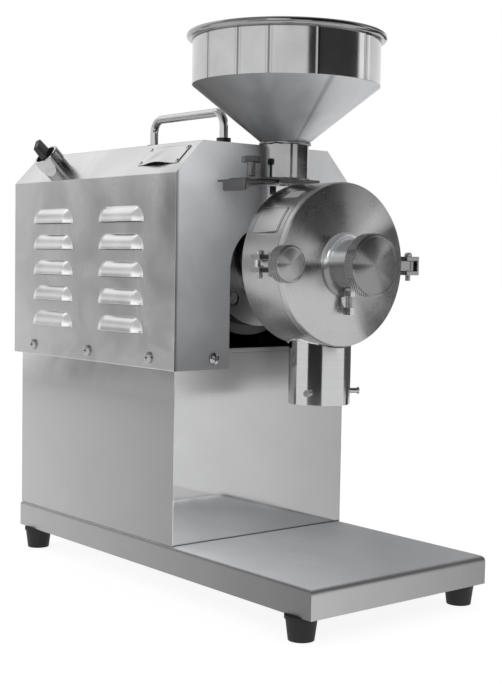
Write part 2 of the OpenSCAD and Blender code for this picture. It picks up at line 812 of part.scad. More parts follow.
module motor_front_bell()
    color(black) difference() {
        union() {
            y_bar(motor_d + 4, flange_back_y + 6, frame_y);
            y_bar(flange_d, flange_back_y, flange_back_y + 7);
        }
        y_bar(bearing_d + 2 * run_fit, bearing_front_y, frame_y + eps);
        y_bar(bearing_bore + 4, flange_back_y - eps, frame_y);
        y_bar(2 * stator_r, frame_y - 6, frame_y + eps);
        flange_bolt_places() translate([0, 0, -flange_bolt_len - 2])
            cylinder(d = flange_bolt_d + 2 * hole_fit, h = flange_bolt_len);
    }

module motor_rear_bell()
    color(black) difference() {
        y_bar(motor_d + 4, frame_end_y, rear_bell_y);
        y_bar(bearing_d + 2 * run_fit, frame_end_y - eps, bearing_rear_y + bearing_w);
        y_bar(rear_bearing_bore + 4, frame_end_y - eps, rear_bell_y + eps);
    }

module stator_core()
    color(dark) difference() {
        y_bar(2 * (stator_r - run_fit), core_y, core_y + core_len);
        y_bar(2 * (rotor_r + air_gap), core_y - eps, core_y + core_len + eps);
    }

// The two end turns of the winding, one at each end of the core
module stator_windings()
    color(copper) for (y = [core_y - 16, core_y + core_len]) difference() {
        y_bar(2 * (stator_r - 3), y, y + 16);
        y_bar(2 * (rotor_r + 5), y - eps, y + 16 + eps);
    }

module ball_bearings()
    color(bright) {
        difference() {
            y_bar(bearing_d, bearing_front_y, bearing_front_y + bearing_w);
            y_bar(bearing_bore + 2 * run_fit, bearing_front_y - eps, bearing_front_y + bearing_w + eps);
        }
        difference() {
            y_bar(bearing_d, bearing_rear_y, bearing_rear_y + bearing_w);
            y_bar(rear_bearing_bore + 2 * run_fit, bearing_rear_y - eps, bearing_rear_y + bearing_w + eps);
        }
    }

module fan_cover() {
    back_y = rear_bell_y + fan_cover_len;
    color(black) difference() {
        y_bar(motor_d + 4, rear_bell_y, back_y);
        y_bar(motor_d + 1, rear_bell_y - eps, back_y - 1.5);
        for (ring = [0:2], k = [0:7 + 4 * ring])
            translate([0, 0, axis_h]) rotate([0, 360 / (8 + 4 * ring) * k, 0])
                y_bar(9, back_y - 3, back_y + eps, 20 + 16 * ring, 0);
    }
}

module capacitor()
    color(bright) {
        y_bar(cap_d, cap_y, cap_y + cap_len, cap_x, cap_z);
        y_bar(8, cap_y - 12, cap_y + 1, cap_x, cap_z);
        block([cap_x - 6, cap_y + 10, cab_top], [cap_x + 6, cap_y + cap_len - 10, cap_z - cap_d / 2 + 2]);
    }
cap_gap = 5.3;
cap_x = cover_w / 2 - cover_sheet - cap_gap - cap_d / 2;
cap_y = frame_y + 20;
cap_z = cab_top + motor_foot_t + 2 + cap_d / 2;

module motor_shaft()
    color(bright) {
        y_bar(shaft_d, shaft_front_y, flange_back_y - 5);
        y_bar(bearing_bore, flange_back_y - 5, core_y);
        y_bar(bearing_bore + 3, core_y, core_y + core_len);
        y_bar(rear_bearing_bore, core_y + core_len, rear_bell_y);
        y_bar(rear_shaft_d, rear_bell_y, fan_y + fan_t);
    }

module rotor_core()
    color(dark) difference() {
        y_bar(2 * rotor_r, core_y, core_y + core_len);
        y_bar(bearing_bore + 3 + 2 * run_fit, core_y - eps, core_y + core_len + eps);
    }

module cooling_fan()
    color(black) difference() {
        union() {
            y_bar(fan_hub_d, fan_y, fan_y + fan_t);
            for (k = [0:6]) translate([0, fan_y + 1, axis_h]) rotate([0, 360 / 7 * k, 0])
                translate([fan_hub_d / 2 - 3, 0, -fan_blade_t / 2])
                    cube([fan_r - fan_hub_d / 2 + 3, fan_t - 2, fan_blade_t]);
        }
        y_bar(rear_shaft_d + 2 * run_fit, fan_y - eps, fan_y + fan_t + eps);
    }

// Feed screw on the shaft: a hub with two turns of flight
auger_hub_d = 28;
auger_d = throat_bore - 1.6;
module feed_auger()
    color(bright) difference() {
        union() {
            y_bar(auger_hub_d, auger_y, auger_end_y);
            translate([0, auger_y + 3, axis_h]) rotate([-90, 0, 0])
                linear_extrude(auger_end_y - auger_y - 4, twist = -720, slices = 40)
                    translate([auger_hub_d / 2 - 2, -2]) square([(auger_d - auger_hub_d) / 2 + 2, 4]);
        }
        y_bar(shaft_d + 2 * run_fit, auger_y - eps, auger_end_y + eps);
    }

// Radial grooves cut in a disc's working face
module disc_grooves(y, reach)
    for (k = [0:groove_count - 1]) translate([0, y, axis_h]) rotate([0, 360 / groove_count * k, 0])
        translate([30, -reach, -1.5]) cube([disc_d, 2 * reach, 3]);

module turning_disc()
    color(dark) difference() {
        y_bar(disc_d, disc_back_y, disc_back_y + disc_back_t);
        y_bar(shaft_d + 2 * run_fit, disc_back_y - eps, disc_back_y + disc_back_t + eps);
        for (k = [0:3]) translate([0, 0, axis_h]) rotate([0, 45 + 90 * k, 0])
            y_bar(11, disc_back_y - eps, disc_back_y + disc_back_t + eps, 20, 0);
        disc_grooves(disc_back_y, 2);
    }

module disc_nut()
    color(bright) translate([0, shaft_front_y, axis_h]) rotate([-90, 0, 0]) difference() {
        hex_bar(1.35 * shaft_d, nut_t);
        translate([0, 0, -eps]) cylinder(d = shaft_d + 2 * run_fit, h = nut_t + 2 * eps);
    }

module mill_flange()
    color(steel) difference() {
        y_bar(flange_d, flange_y, flange_back_y);
        y_bar(throat_bore, flange_y - eps, flange_back_y - 6);
        y_bar(bearing_bore + 4 * run_fit, flange_y, flange_back_y + eps);
        flange_bolt_places() cylinder(d = flange_bolt_d + 2 * hole_fit, h = 3 * flange_t, center = true);
        flange_bolt_places() translate([0, 0, -flange_sink]) cylinder(d = flange_sink_d, h = 2 * flange_sink);
    }

module flange_bolts()
    color(bright) flange_bolt_places() {
        translate([0, 0, -flange_sink]) hex_bar(1.6 * flange_bolt_d, 0.65 * flange_bolt_d);
        translate([0, 0, -flange_bolt_len]) cylinder(d = flange_bolt_d, h = flange_bolt_len - flange_sink + 1);
    }

// Vertical way for the grain, from the inlet into the throat
module grain_way()
    z_bar(inlet_d - 2 * inlet_wall, 0, inlet_y, axis_h, inlet_top);

module feed_throat()
    color(steel) difference() {
        y_bar(throat_d, drum_back_y, flange_y);
        y_bar(throat_bore, drum_back_y - eps, flange_y + eps);
        grain_way();
    }

module inlet_tube()
    color(steel) difference() {
        union() {
            z_bar(inlet_d, 0, inlet_y, axis_h, inlet_top);
            gate_plate(-gate_mouth, inlet_top - gate_plate_t, inlet_top);
        }
        z_bar(inlet_d - 2 * inlet_wall, 0, inlet_y, axis_h - eps, inlet_top - gate_plate_t);
        z_bar(gate_bore, 0, inlet_y, axis_h, inlet_top + eps);
        y_bar(throat_d + 2 * weld_gap, drum_back_y - 20, cover_y + 20);
    }

// A plate of the gate box, as wide as the tube it is welded to
module gate_plate(x0, z0, z1)
    block([x0, inlet_y - inlet_d / 2, z0], [gate_end, inlet_y + inlet_d / 2, z1]);

// The U of rails that guides the gate
gate_rail = (inlet_d - gate_w) / 2 - gate_gap;
gate_tip = gate_end - gate_rail - gate_gap;
module gate_rails()
    color(steel) difference() {
        gate_plate(-gate_mouth, inlet_top, inlet_top + gate_room);
        block([-gate_mouth - eps, inlet_y - gate_w / 2 - gate_gap, inlet_top - eps],
            [gate_tip + gate_gap, inlet_y + gate_w / 2 + gate_gap, inlet_top + gate_room + eps]);
    }

// Sliding gate with its bent-down grip
module slide_gate()
    color(steel) {
        block([-gate_tail, inlet_y - gate_w / 2, gate_z], [gate_tip, inlet_y + gate_w / 2, gate_z + gate_t]);
        translate([-gate_tail, inlet_y - (gate_w - grip_w) / 2, gate_z + gate_t]) rotate([0, 90, 0])
            linear_extrude(gate_t) grip_outline(gate_grip, grip_w, 3);
    }

// The grip's outline with its two lower corners rounded
module grip_outline(h, w, r) {
    translate([0, -w / 2]) square([h - r, w]);
    translate([0, -w / 2 + r]) square([h, w - 2 * r]);
    for (side = [-1, 1]) translate([h - r, side * (w / 2 - r)]) circle(r);
}

// Thumb screw on the tongue of the gate box, its tip just above the gate
module gate_thumb_screw()
    color(bright) translate([-thumb_out, inlet_y, gate_z + gate_t + gate_gap]) {
        stem = gate_plate_t + thumb_stem;
        cylinder(d = thumb_d, h = stem + 1);
        translate([0, 0, stem]) cylinder(d1 = thumb_head_d - 1, d2 = thumb_head_d, h = 0.5);
        translate([0, 0, stem + 0.5]) cylinder(d = thumb_head_d, h = thumb_head_h - 1);
        translate([0, 0, stem + thumb_head_h - 0.5]) cylinder(d1 = thumb_head_d, d2 = thumb_head_d - 1, h = 0.5);
    }

module hopper() {
    neck_r = inlet_d / 2;
    band_r = band_d / 2;
    t = hopper_sheet;
    slope = atan2(cone_h, band_r - neck_r);
    lift = (t / sin(slope) - t) * tan(slope);
    plate_z = neck_z - gate_plate_t;
    color(bright) difference() {
        union() {
            translate([0, inlet_y, 0]) rotate_extrude() {
                polygon([[neck_r - t, neck_z - eps], [neck_r, neck_z - eps], [neck_r, cone_z],
                    [band_r, band_z], [band_r, rim_z], [band_r - t, rim_z],
                    [band_r - t, band_z + lift], [neck_r - t, cone_z + lift]]);
                translate([band_r + bead_d / 2 - t, rim_z]) circle(d = bead_d);
                translate([neck_r + 0.2, cone_z - 1.2]) circle(d = 2.4);
            }
            gate_plate(-tongue_reach, plate_z, neck_z);
        }
        z_bar(gate_bore, 0, inlet_y, plate_z - eps, neck_z + eps);
        z_bar(2 * (neck_r - t), 0, inlet_y, neck_z, cone_z);
        z_bar(thumb_d + 2 * run_fit, -thumb_out, inlet_y, plate_z - eps, neck_z + eps);
    }
}

module grinding_drum()
    color(steel) difference() {
        y_bar(drum_d, drum_y, drum_back_y);
        y_bar(drum_d - 2 * drum_wall, drum_y - eps, drum_floor_y);
        y_bar(throat_bore, drum_y, drum_back_y + eps);
        z_bar(spout_d - 2 * spout_wall, 0, spout_y, axis_h - drum_d, axis_h - drum_r / 2, $fn = 64);
    }

// Bare label wrapped on the drum's upper left
label_from = 47;
label_to = 70;
label_t = 0.4;
module drum_label()
    color(bright) intersection() {
        difference() {
            y_bar(drum_d + 2 * weld_gap + 2 * label_t, drum_y + 6, drum_back_y - 6);
            y_bar(drum_d + 2 * weld_gap, drum_y, drum_back_y);
        }
        translate([0, drum_back_y, axis_h]) rotate([90, 0, 0]) linear_extrude(drum_depth)
            polygon([[0, 0], drum_d * [-sin(label_from), cos(label_from)],
                drum_d * [-sin(label_to), cos(label_to)]]);
    }

module outlet_spout()
    color(steel) difference() {
        z_bar(spout_d, 0, spout_y, axis_h - spout_drop, axis_h);
        z_bar(spout_d - 2 * spout_wall, 0, spout_y, axis_h - spout_drop - eps, axis_h + eps);
        y_bar(drum_d + 2 * weld_gap, drum_y - eps, drum_back_y + 40);
        y_bar(drum_d + 2 * door_gap + 2 * seat_gap, door_y - 40, drum_y);
        block([-drum_d, door_y - 60, axis_h - drum_r / 2], [drum_d, drum_back_y + 60, axis_h + eps]);
    }

// Three bag pegs round the spout's mouth
module bag_pegs()
    color(bright) for (turn = [90, 210, 330])
        translate([0, spout_y, axis_h - spout_drop + peg_rise]) rotate(turn) difference() {
            union() {
                rotate([0, 90, 0]) cylinder(d = peg_d, h = spout_d / 2 + peg_len);
                translate([spout_d / 2 + peg_len - 1.5, 0, 0]) rotate([0, 90, 0]) cylinder(d = peg_d + 1.6, h = 1.5);
            }
            cylinder(d = spout_d + 2 * weld_gap, h = 4 * peg_d, center = true);
        }

// The two plates of a bracket, above and below the mill axis, bored for their bolt
module ear_plates(gap, t, x0, x1, y0, y1, px, py)
    for (side = [0, 1]) mirror([0, 0, side]) difference() {
        block([x0, y0, gap / 2], [x1, y1, gap / 2 + t]);
        translate([px, py, 0]) cylinder(d = pivot_d + 2 * run_fit, h = 4 * gap, center = true);
    }

// Brackets welded to the drum: the clamp's on the left, the hinge's on the right
hinge_ear_x = hinge_x + knuckle_d / 2 + 3;
hinge_ear_y = hinge_y - knuckle_d / 2;
hinge_ear_back = hinge_y + 16;
module drum_ears()
    color(steel) difference() {
        translate([0, 0, axis_h]) {
            ear_plates(clamp_gap, clamp_ear_t, clamp_x - ear_w / 2, 0,
                clamp_y - ear_w / 2, clamp_y + ear_w / 2, clamp_x, clamp_y);
            ear_plates(hinge_gap, hinge_ear_t, 0, hinge_ear_x, hinge_ear_y, hinge_ear_back, hinge_x, hinge_y);
            block([hinge_ear_x - 2, hinge_ear_y, -hinge_half], [hinge_ear_x, hinge_ear_back, hinge_half]);
        }
        y_bar(drum_d + 2 * weld_gap, front_y, cover_y);
        y_bar(2 * (hinge_x - knuckle_d / 2 - 1), front_y, drum_y + eps);
    }

// A bolt through each bracket with a domed head above and a bare end below
module pivot_bolts()
    color(bright) for (place = [[clamp_x, clamp_y, clamp_half], [hinge_x, hinge_y, hinge_half]])
        translate([place[0], place[1], axis_h]) {
            translate([0, 0, -place[2] - pivot_tail]) cylinder(d = pivot_d, h = 2 * place[2] + pivot_tail + 1);
            translate([0, 0, place[2]]) cylinder(d = pivot_head_d, h = pivot_head_h - 1.5);
            translate([0, 0, place[2] + pivot_head_h - 1.5]) cylinder(d1 = pivot_head_d, d2 = pivot_head_d - 3, h = 1.5);
        }

module door()
    color(bright) difference() {
        union() {
            y_bar(drum_d, door_y + 1, door_back_y);
            translate([0, door_y, axis_h]) rotate([-90, 0, 0]) cylinder(d1 = drum_d - 2, d2 = drum_d, h = 1);
        }
        y_bar(stem_d + 2 * run_fit, door_y - eps, door_back_y + eps);
        carrier_pin_places() cylinder(d = carrier_pin_d + 2 * run_fit, h = 5);
    }

// Two pins behind the door that keep the front disc from turning
module carrier_pin_places()
    for (side = [-1, 1]) translate([side * carrier_pin_x, door_back_y, axis_h]) rotate([90, 0, 0]) children();

module carrier_pins()
    color(bright) carrier_pin_places() translate([0, 0, door_back_y - carrier_y - carrier_t + 1])
        cylinder(d = carrier_pin_d, h = carrier_y + carrier_t - door_back_y + 3);

// Fork on the door's left edge that the clamp's knob bears on
lug_end = clamp_x - 4;
module door_lugs()
    color(steel) difference() {
        translate([0, 0, axis_h]) for (side = [0, 1]) mirror([0, 0, side])
            block([lug_end, lug_y, lug_gap / 2], [-drum_r + 6, door_back_y - 1, lug_gap / 2 + lug_t]);
        y_bar(drum_d + 2 * weld_gap, door_y, drum_back_y);
    }

// Knuckle on the door's right edge, turning on the hinge's bolt
module door_knuckle() {
    half = hinge_gap / 2 - seat_gap;
    arm_t = 5;
    arm_y = door_back_y - arm_t;
    color(steel) difference() {
        translate([0, 0, axis_h]) {
            translate([hinge_x, hinge_y, -half]) cylinder(d = knuckle_d, h = 2 * half);
            block([drum_r - 6, arm_y, -half], [hinge_x, arm_y + arm_t, half]);
        }
        y_bar(drum_d + 2 * weld_gap, door_y - eps, drum_back_y);
        z_bar(pivot_d + 2 * run_fit, hinge_x, hinge_y, axis_h - hinge_gap, axis_h + hinge_gap);
    }
}

// The boss's outside with its hollow flare, grown by a clearance
module boss_outside(grow) {
    r = (boss_d + grow) / 2;
    ring = (boss_ring_d + grow) / 2;
    flare = (boss_ring_d - boss_d) / 2;
    translate([0, door_y, axis_h]) rotate([90, 0, 0]) rotate_extrude() {
        square([r, boss_len]);
        difference() {
            square([ring, flare + 1]);
            translate([ring, flare + 1]) circle(flare);
        }
    }
}

// Boss on the door: guides the stem and holds the adjusting screw's collar
module adjuster_boss()
    color(bright) difference() {
        boss_outside(0);
        y_bar(screw_d + 2 * run_fit, boss_y - eps, door_y);
        y_bar(stem_d + 2 * run_fit, boss_y + boss_cap, door_y + eps);
        z_bar(lock_d + 2 * run_fit, 0, door_y - lock_fore, axis_h - boss_ring_d, axis_h);
    }

// Lock screw under the boss, with its nut against the boss
lock_tip = stem_d / 2 + seat_gap;
lock_nut_drop = boss_d / 2 + 5;
lock_head_h = 7;
lock_bare = 10;
lock_reach = lock_nut_drop + lock_bare + lock_head_h;
module lock_screw()
    color(bright) translate([0, door_y - lock_fore, axis_h - lock_reach]) {
        translate([0, 0, 1]) cylinder(d = lock_d, h = lock_reach - lock_tip - 1);
        hex_bar(1.65 * lock_d, lock_head_h);
    }

module lock_nut()
    color(bright) difference() {
        translate([0, door_y - lock_fore, axis_h - lock_nut_drop]) hex_bar(1.75 * lock_d, 8);
        z_bar(lock_d + 2 * run_fit, 0, door_y - lock_fore, axis_h - boss_ring_d, axis_h);
        boss_outside(2 * weld_gap);
    }

module disc_carrier()
    color(steel) difference() {
        union() {
            y_bar(stem_d, stem_y, carrier_y + 1);
            y_bar(disc_d - 8, carrier_y, carrier_y + carrier_t);
        }
        y_bar(screw_d + 2 * run_fit, stem_y - eps, carrier_y);
        for (side = [-1, 1])
            y_bar(carrier_pin_d + 2 * run_fit, carrier_y - eps, carrier_y + carrier_t + eps, side * carrier_pin_x);
    }

module front_disc()
    color(dark) difference() {
        y_bar(disc_d, disc_front_y, disc_front_y + disc_front_t);
        y_bar(2 * disc_eye, disc_front_y - eps, disc_front_y + disc_front_t + eps);
        disc_grooves(disc_front_y + disc_front_t, 2);
    }

module adjusting_screw()
    color(bright) {
        y_bar(screw_d, knob_y + 4, screw_end_y);
        y_bar(collar_d, collar_y, collar_y + collar_t);
    }

module adjusting_knob()
    color(bright) difference() {
        union() {
            translate([0, knob_y, axis_h]) rotate([-90, 0, 0]) cylinder(d1 = knob_d - 2, d2 = knob_d, h = 1);
            y_bar(knob_d, knob_y + 1, knob_back_y - 0.6);
            translate([0, knob_back_y - 0.6, axis_h]) rotate([-90, 0, 0]) cylinder(d1 = knob_d, d2 = knob_d - 1.2, h = 0.6);
        }
        y_bar(screw_d + 2 * run_fit, knob_y + 4, knob_back_y + eps);
    }

// Swing bolt on the clamp's pivot: an eye and a rod
module clamp_bolt() {
    half = clamp_gap / 2 - 2 * seat_gap;
    color(bright) difference() {
        union() {
            z_bar(eye_d, clamp_x, clamp_y, axis_h - half, axis_h + half);
            y_bar(rod_d, clamp_knob_y + 3, clamp_y, clamp_x);
        }
        z_bar(pivot_d + 2 * run_fit, clamp_x, clamp_y, axis_h - clamp_half, axis_h + clamp_half);
    }
}

module clamp_knob()
    color(bright) difference() {
        union() {
            translate([clamp_x, clamp_knob_y, axis_h]) rotate([-90, 0, 0])
                cylinder(d1 = clamp_knob_d - 2, d2 = clamp_knob_d, h = 1);
            y_bar(clamp_knob_d, clamp_knob_y + 1, clamp_knob_back_y, clamp_x);
        }
        y_bar(rod_d + 2 * run_fit, clamp_knob_y + 2.7, clamp_knob_back_y + eps, clamp_x);
    }

base_tray();
rubber_feet();
foot_screws();
cabinet();
motor_deck();
motor_cover();
cover_screws();
top_handle();
handle_collars();
handle_nuts();
name_plate();
plate_rivets();
switch_collar();
switch_nut();
switch_block();
switch_lever();
cord_gland();
motor_frame();
motor_front_bell();
motor_rear_bell();
stator_core();
stator_windings();
ball_bearings();
fan_cover();
capacitor();
motor_bolts();
motor_shaft();
rotor_core();
cooling_fan();
feed_auger();
turning_disc();
disc_nut();
mill_flange();
flange_bolts();
feed_throat();
inlet_tube();
gate_rails();
slide_gate();
gate_thumb_screw();
hopper();
grinding_drum();
drum_label();
outlet_spout();
bag_pegs();
drum_ears();
pivot_bolts();
door();
door_lugs();
door_knuckle();
adjuster_boss();
lock_nut();
carrier_pins();
disc_carrier();
front_disc();
adjusting_screw();
adjusting_knob();
lock_screw();
clamp_bolt();
clamp_knob();
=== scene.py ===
# %% [markdown]
# # A disc mill for grain
# The real thing is a table-top grinder in stainless steel: a folded tray on rubber feet, a cabinet, a
# louvred motor cover, and in front of it a grinding drum with a hinged door, fed by a hopper.
# Its solids were drawn in millimetres and come from model.glb, so this lesson loads them as a fixed
# frame and never moves them. Blender's part is the rest: light, finishes, and the pieces whose surface
# is finer than a solid can hold, such as knurls, threads, weld beads and a bowed plate.

# %% Load the frame
import bmesh
import bpy
from math import atan2, cos, pi, radians, sin
from mathutils import Matrix, Vector


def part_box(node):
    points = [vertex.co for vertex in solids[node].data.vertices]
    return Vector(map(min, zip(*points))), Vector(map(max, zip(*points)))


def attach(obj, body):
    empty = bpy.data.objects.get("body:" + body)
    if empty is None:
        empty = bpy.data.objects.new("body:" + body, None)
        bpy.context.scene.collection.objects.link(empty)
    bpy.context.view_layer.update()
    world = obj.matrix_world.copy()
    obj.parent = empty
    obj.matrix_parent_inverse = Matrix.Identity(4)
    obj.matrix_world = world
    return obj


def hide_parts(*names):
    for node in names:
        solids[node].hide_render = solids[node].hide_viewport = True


shift = Matrix.Translation


def add(name, operator, **settings):
    """Adds an object with nothing else selected, and names it."""
    bpy.ops.object.select_all(action="DESELECT")
    operator(**settings)
    made = bpy.context.object
    made.name = name
    return made


def middle(name):
    """The middle of a solid's box."""
    low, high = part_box(name)
    return (low + high) / 2


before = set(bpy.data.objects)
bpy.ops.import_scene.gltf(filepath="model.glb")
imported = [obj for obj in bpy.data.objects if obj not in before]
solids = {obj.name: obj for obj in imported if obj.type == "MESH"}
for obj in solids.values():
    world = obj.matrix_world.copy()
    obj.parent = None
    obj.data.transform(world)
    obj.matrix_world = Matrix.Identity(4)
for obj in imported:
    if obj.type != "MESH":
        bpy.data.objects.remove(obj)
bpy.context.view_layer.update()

# %% [markdown]
# ## Camera
# The photograph was taken from the front left, a little above the drum's axis and with a slight roll.
# A camera could be aimed with a constraint, but a constraint hides its own numbers. Here three angles
# give the camera's own right, up and back directions, and these become its matrix.

# %% Camera
VIEW_DEGREES = (-39.43, 3.51, 0.95)
STAND, SENSOR_MM, LENS_MM = (-0.8169, -1.0261, 0.3188), 36, 67.3
turn, tilt, roll = map(radians, VIEW_DEGREES)
back = Vector((sin(turn) * cos(tilt), -cos(turn) * cos(tilt), sin(tilt)))
right = Vector((cos(turn), sin(turn), 0))
up = back.cross(right)
camera = add("Camera", bpy.ops.object.camera_add)
axes = (right * cos(roll) + up * sin(roll), up * cos(roll) - right * sin(roll), back)
camera.matrix_world = shift(STAND) @ Matrix(axes).transposed().to_4x4()
camera.data.sensor_width, camera.data.lens = SENSOR_MM, LENS_MM
bpy.context.scene.camera = camera
print("camera at", tuple(round(x, 3) for x in camera.location), "lens", camera.data.lens)

# %% [markdown]
# ## Node tools
# Light, air and finishes are all node trees. Typing every node and link by hand would fill pages, so
# small tools add and wire the nodes, do sums with numbers, vectors and colours, stretch a value from
# one range to another, and turn it into greys. A socket knows its own tree, so most of them ask it.

# %% Node tools
def wire(tree, kind, inputs={}, **settings):
    """Adds a shader node, sets it up and links or fills its sockets."""
    made = tree.nodes.new("ShaderNode" + kind)
    for key, value in settings.items():
        setattr(made, key, value)
    for key, value in inputs.items():
        if isinstance(value, bpy.types.NodeSocket):
            tree.links.new(value, made.inputs[key])
        else:
            made.inputs[key].default_value = value
    return made


def tree_of(*values):
    """The node tree of the first socket among some values."""
    return next(value.id_data for value in values if isinstance(value, bpy.types.NodeSocket))


def maths(operation, *values):
    """A sum with numbers or sockets."""
    return wire(tree_of(*values), "Math", dict(enumerate(values)), operation=operation).outputs[0]


def vectors(operation, *values):
    """A sum with vectors, whose result may be a plain number."""
    result = "Value" if operation in ("DOT_PRODUCT", "LENGTH") else "Vector"
    made = wire(tree_of(*values), "VectorMath", dict(enumerate(values)), operation=operation)
    return made.outputs[result]


def blend(share, first, second, **settings):
    """Goes from the first value to the second as the share grows."""
    inputs = {"Factor": share, "A": first, "B": second}
    return wire(tree_of(share, first, second), "Mix", inputs, **settings).outputs["Result"]


def multiply(first, second, share=1.0):
    """Multiplies the second colour into the first."""
    return blend(share, first, second, data_type="RGBA", blend_type="MULTIPLY")


def spread(source, low, high, to_low=0.0, to_high=1.0, **settings):
    """Stretches a value from one range to another."""
    keys = ("Value", "From Min", "From Max", "To Min", "To Max")
    inputs = dict(zip(keys, (source, low, high, to_low, to_high)))
    return wire(source.id_data, "MapRange", inputs, **settings).outputs[0]


def parts(vector):
    """The X, Y and Z of a vector."""
    return wire(vector.id_data, "SeparateXYZ", {0: vector}).outputs


def greys(source, *stops):
    """A colour ramp from pairs of position and colour, or of position and grey."""
    made = wire(source.id_data, "ValToRGB", {"Fac": source})
    while len(made.color_ramp.elements) < len(stops):
        made.color_ramp.elements.new(0.5)
    for stop, (position, tone) in zip(made.color_ramp.elements, stops):
        stop.position = position
        stop.color = (*tone, 1) if isinstance(tone, tuple) else (tone, tone, tone, 1)
    return made.outputs[0]


print("node tools ready")

# %% [markdown]
# ## White floor and white air
# The machine stands on a white sweep. Turning the lamps up until the floor burns out would burn the
# steel out too. The Light Path node offers another way: rays from the camera find plain white, rays
# that only carry light find a quieter grey, and mirror rays find a studio that is white at eye level,
# greyer overhead and black in one patch high in front of the door, because steel needs something dark
# to show. The floor mixes a little of its real, shaded self back in, so the machine keeps its shadow.

# %% White floor and white air
PATCH_WAY = Vector((0.0, -0.80, 0.60))
FLOOR_GLOW, GLOW_SHARE = 1.12, 0.8
bpy.context.scene.view_settings.view_transform = "Standard"
world = bpy.data.worlds.new("white_air")
bpy.context.scene.world = world
world.use_nodes = True
air = world.node_tree
air.nodes.clear()
fill = wire(air, "Background", {"Color": (0.94, 0.96, 1, 1), "Strength": 0.8})
white = wire(air, "Background", {"Color": (1, 1, 1, 1)})
look = wire(air, "TexCoord").outputs["Generated"]
climb = parts(look)["Z"]
near_patch = vectors("DOT_PRODUCT", look, PATCH_WAY)
roof = greys(climb, (0.18, 1.0), (0.40, 0.42))
patch = greys(near_patch, (0.58, 1.0), (0.76, 0.03))
high = spread(climb, 0.18, 0.32)
studio = wire(air, "Background", {"Color": multiply(roof, patch, high)})
path = wire(air, "LightPath").outputs
mirrored = wire(air, "MixShader", {0: path["Is Glossy Ray"], 1: fill.outputs[0], 2: studio.outputs[0]})
sky = wire(air, "MixShader", {0: path["Is Camera Ray"], 1: mirrored.outputs[0], 2: white.outputs[0]})
wire(air, "OutputWorld", {"Surface": sky.outputs[0]})

floor = add("floor", bpy.ops.mesh.primitive_plane_add, size=24, location=(0, 0, -0.0003))
paper = bpy.data.materials.new("white_paper")
paper.use_nodes = True
sheet = paper.node_tree
sheet.nodes.clear()
lit = wire(sheet, "BsdfDiffuse", {"Color": (0.82, 0.82, 0.82, 1)})
glow = wire(sheet, "Emission", {"Strength": FLOOR_GLOW})
path = wire(sheet, "LightPath").outputs
seen = maths("MAXIMUM", path["Is Camera Ray"], path["Is Glossy Ray"])
share = maths("MULTIPLY", seen, GLOW_SHARE)
both = wire(sheet, "MixShader", {0: share, 1: lit.outputs[0], 2: glow.outputs[0]})
wire(sheet, "OutputMaterial", {"Surface": both.outputs[0]})
floor.data.materials.append(paper)
print("floor", floor.name, "and world", world.name)

# %% [markdown]
# ## Lamps
# A studio would light steel with large soft boxes: steel shows the lamp itself, so a small lamp would
# be a hard white dot. One box hangs behind and above, where the sloping facet and the louvres look.
# One stands at the front left and one at the right. Brightness is power over area and pi.

# %% Lamps
def soft_box(name, place, aim, width, height, brightness):
    """A rectangular lamp at a place, turned towards its aim."""
    lamp = add(name, bpy.ops.object.light_add, type="AREA", location=place)
    lamp.rotation_euler = (Vector(aim) - Vector(place)).to_track_quat("-Z", "Y").to_euler()
    lamp.data.shape, lamp.data.size, lamp.data.size_y = "RECTANGLE", width, height
    lamp.data.energy = brightness * pi * width * height
    print(name, "power", round(lamp.data.energy, 1), "W")


soft_box("back_box", (-0.3, 1.7, 1.75), (0, 0, 0.35), 1.8, 1.3, 0.75)
soft_box("front_box", (-1.5, -1.3, 1.6), (0, 0, 0.3), 0.9, 0.9, 1.6)
soft_box("right_box", (1.7, -0.9, 1.1), (0, 0, 0.3), 0.9, 0.9, 0.45)

# %% [markdown]
# ## Grey and black cards
# White steel in white air has no shape. Photographers stand dark cards around such an object: nobody
# sees a card, but the steel mirrors it as a crisp dark stripe. Each card here is a plane between two
# compass angles round the mill, and only mirror rays may see it, so it casts no shadow on the floor.
# One white card stands near the front for a bright wedge on the door, and two dark ones lie flat.

# %% Cards
def card(name, from_angle, to_angle, low, high, tone, far):
    """An upright card; angles are in degrees, 0 is in front and 90 at the right."""
    angles = map(radians, (from_angle, to_angle))
    ends = [Vector((sin(angle), -cos(angle), 0)) * far for angle in angles]
    centre, side = (ends[0] + ends[1]) / 2, ends[1] - ends[0]
    made = add(name, bpy.ops.mesh.primitive_plane_add, size=1)
    made.matrix_world = shift((centre.x, centre.y, (low + high) / 2)) @ Matrix.Rotation(
        atan2(side.y, side.x), 4, "Z") @ Matrix.Rotation(pi / 2, 4, "X") @ Matrix.Diagonal(
        (side.length, high - low, 1, 1))
    paint = bpy.data.materials.new(name + "_paint")
    paint.use_nodes = True
    paint.node_tree.nodes.clear()
    tint = wire(paint.node_tree, "Emission", {"Color": (tone, tone, tone, 1)})
    wire(paint.node_tree, "OutputMaterial", {"Surface": tint.outputs[0]})
    made.data.materials.append(paint)
    made.visible_camera = made.visible_diffuse = made.visible_shadow = made.visible_transmission = False
    print(name, "is", round(side.length, 2), "m wide")
    return made


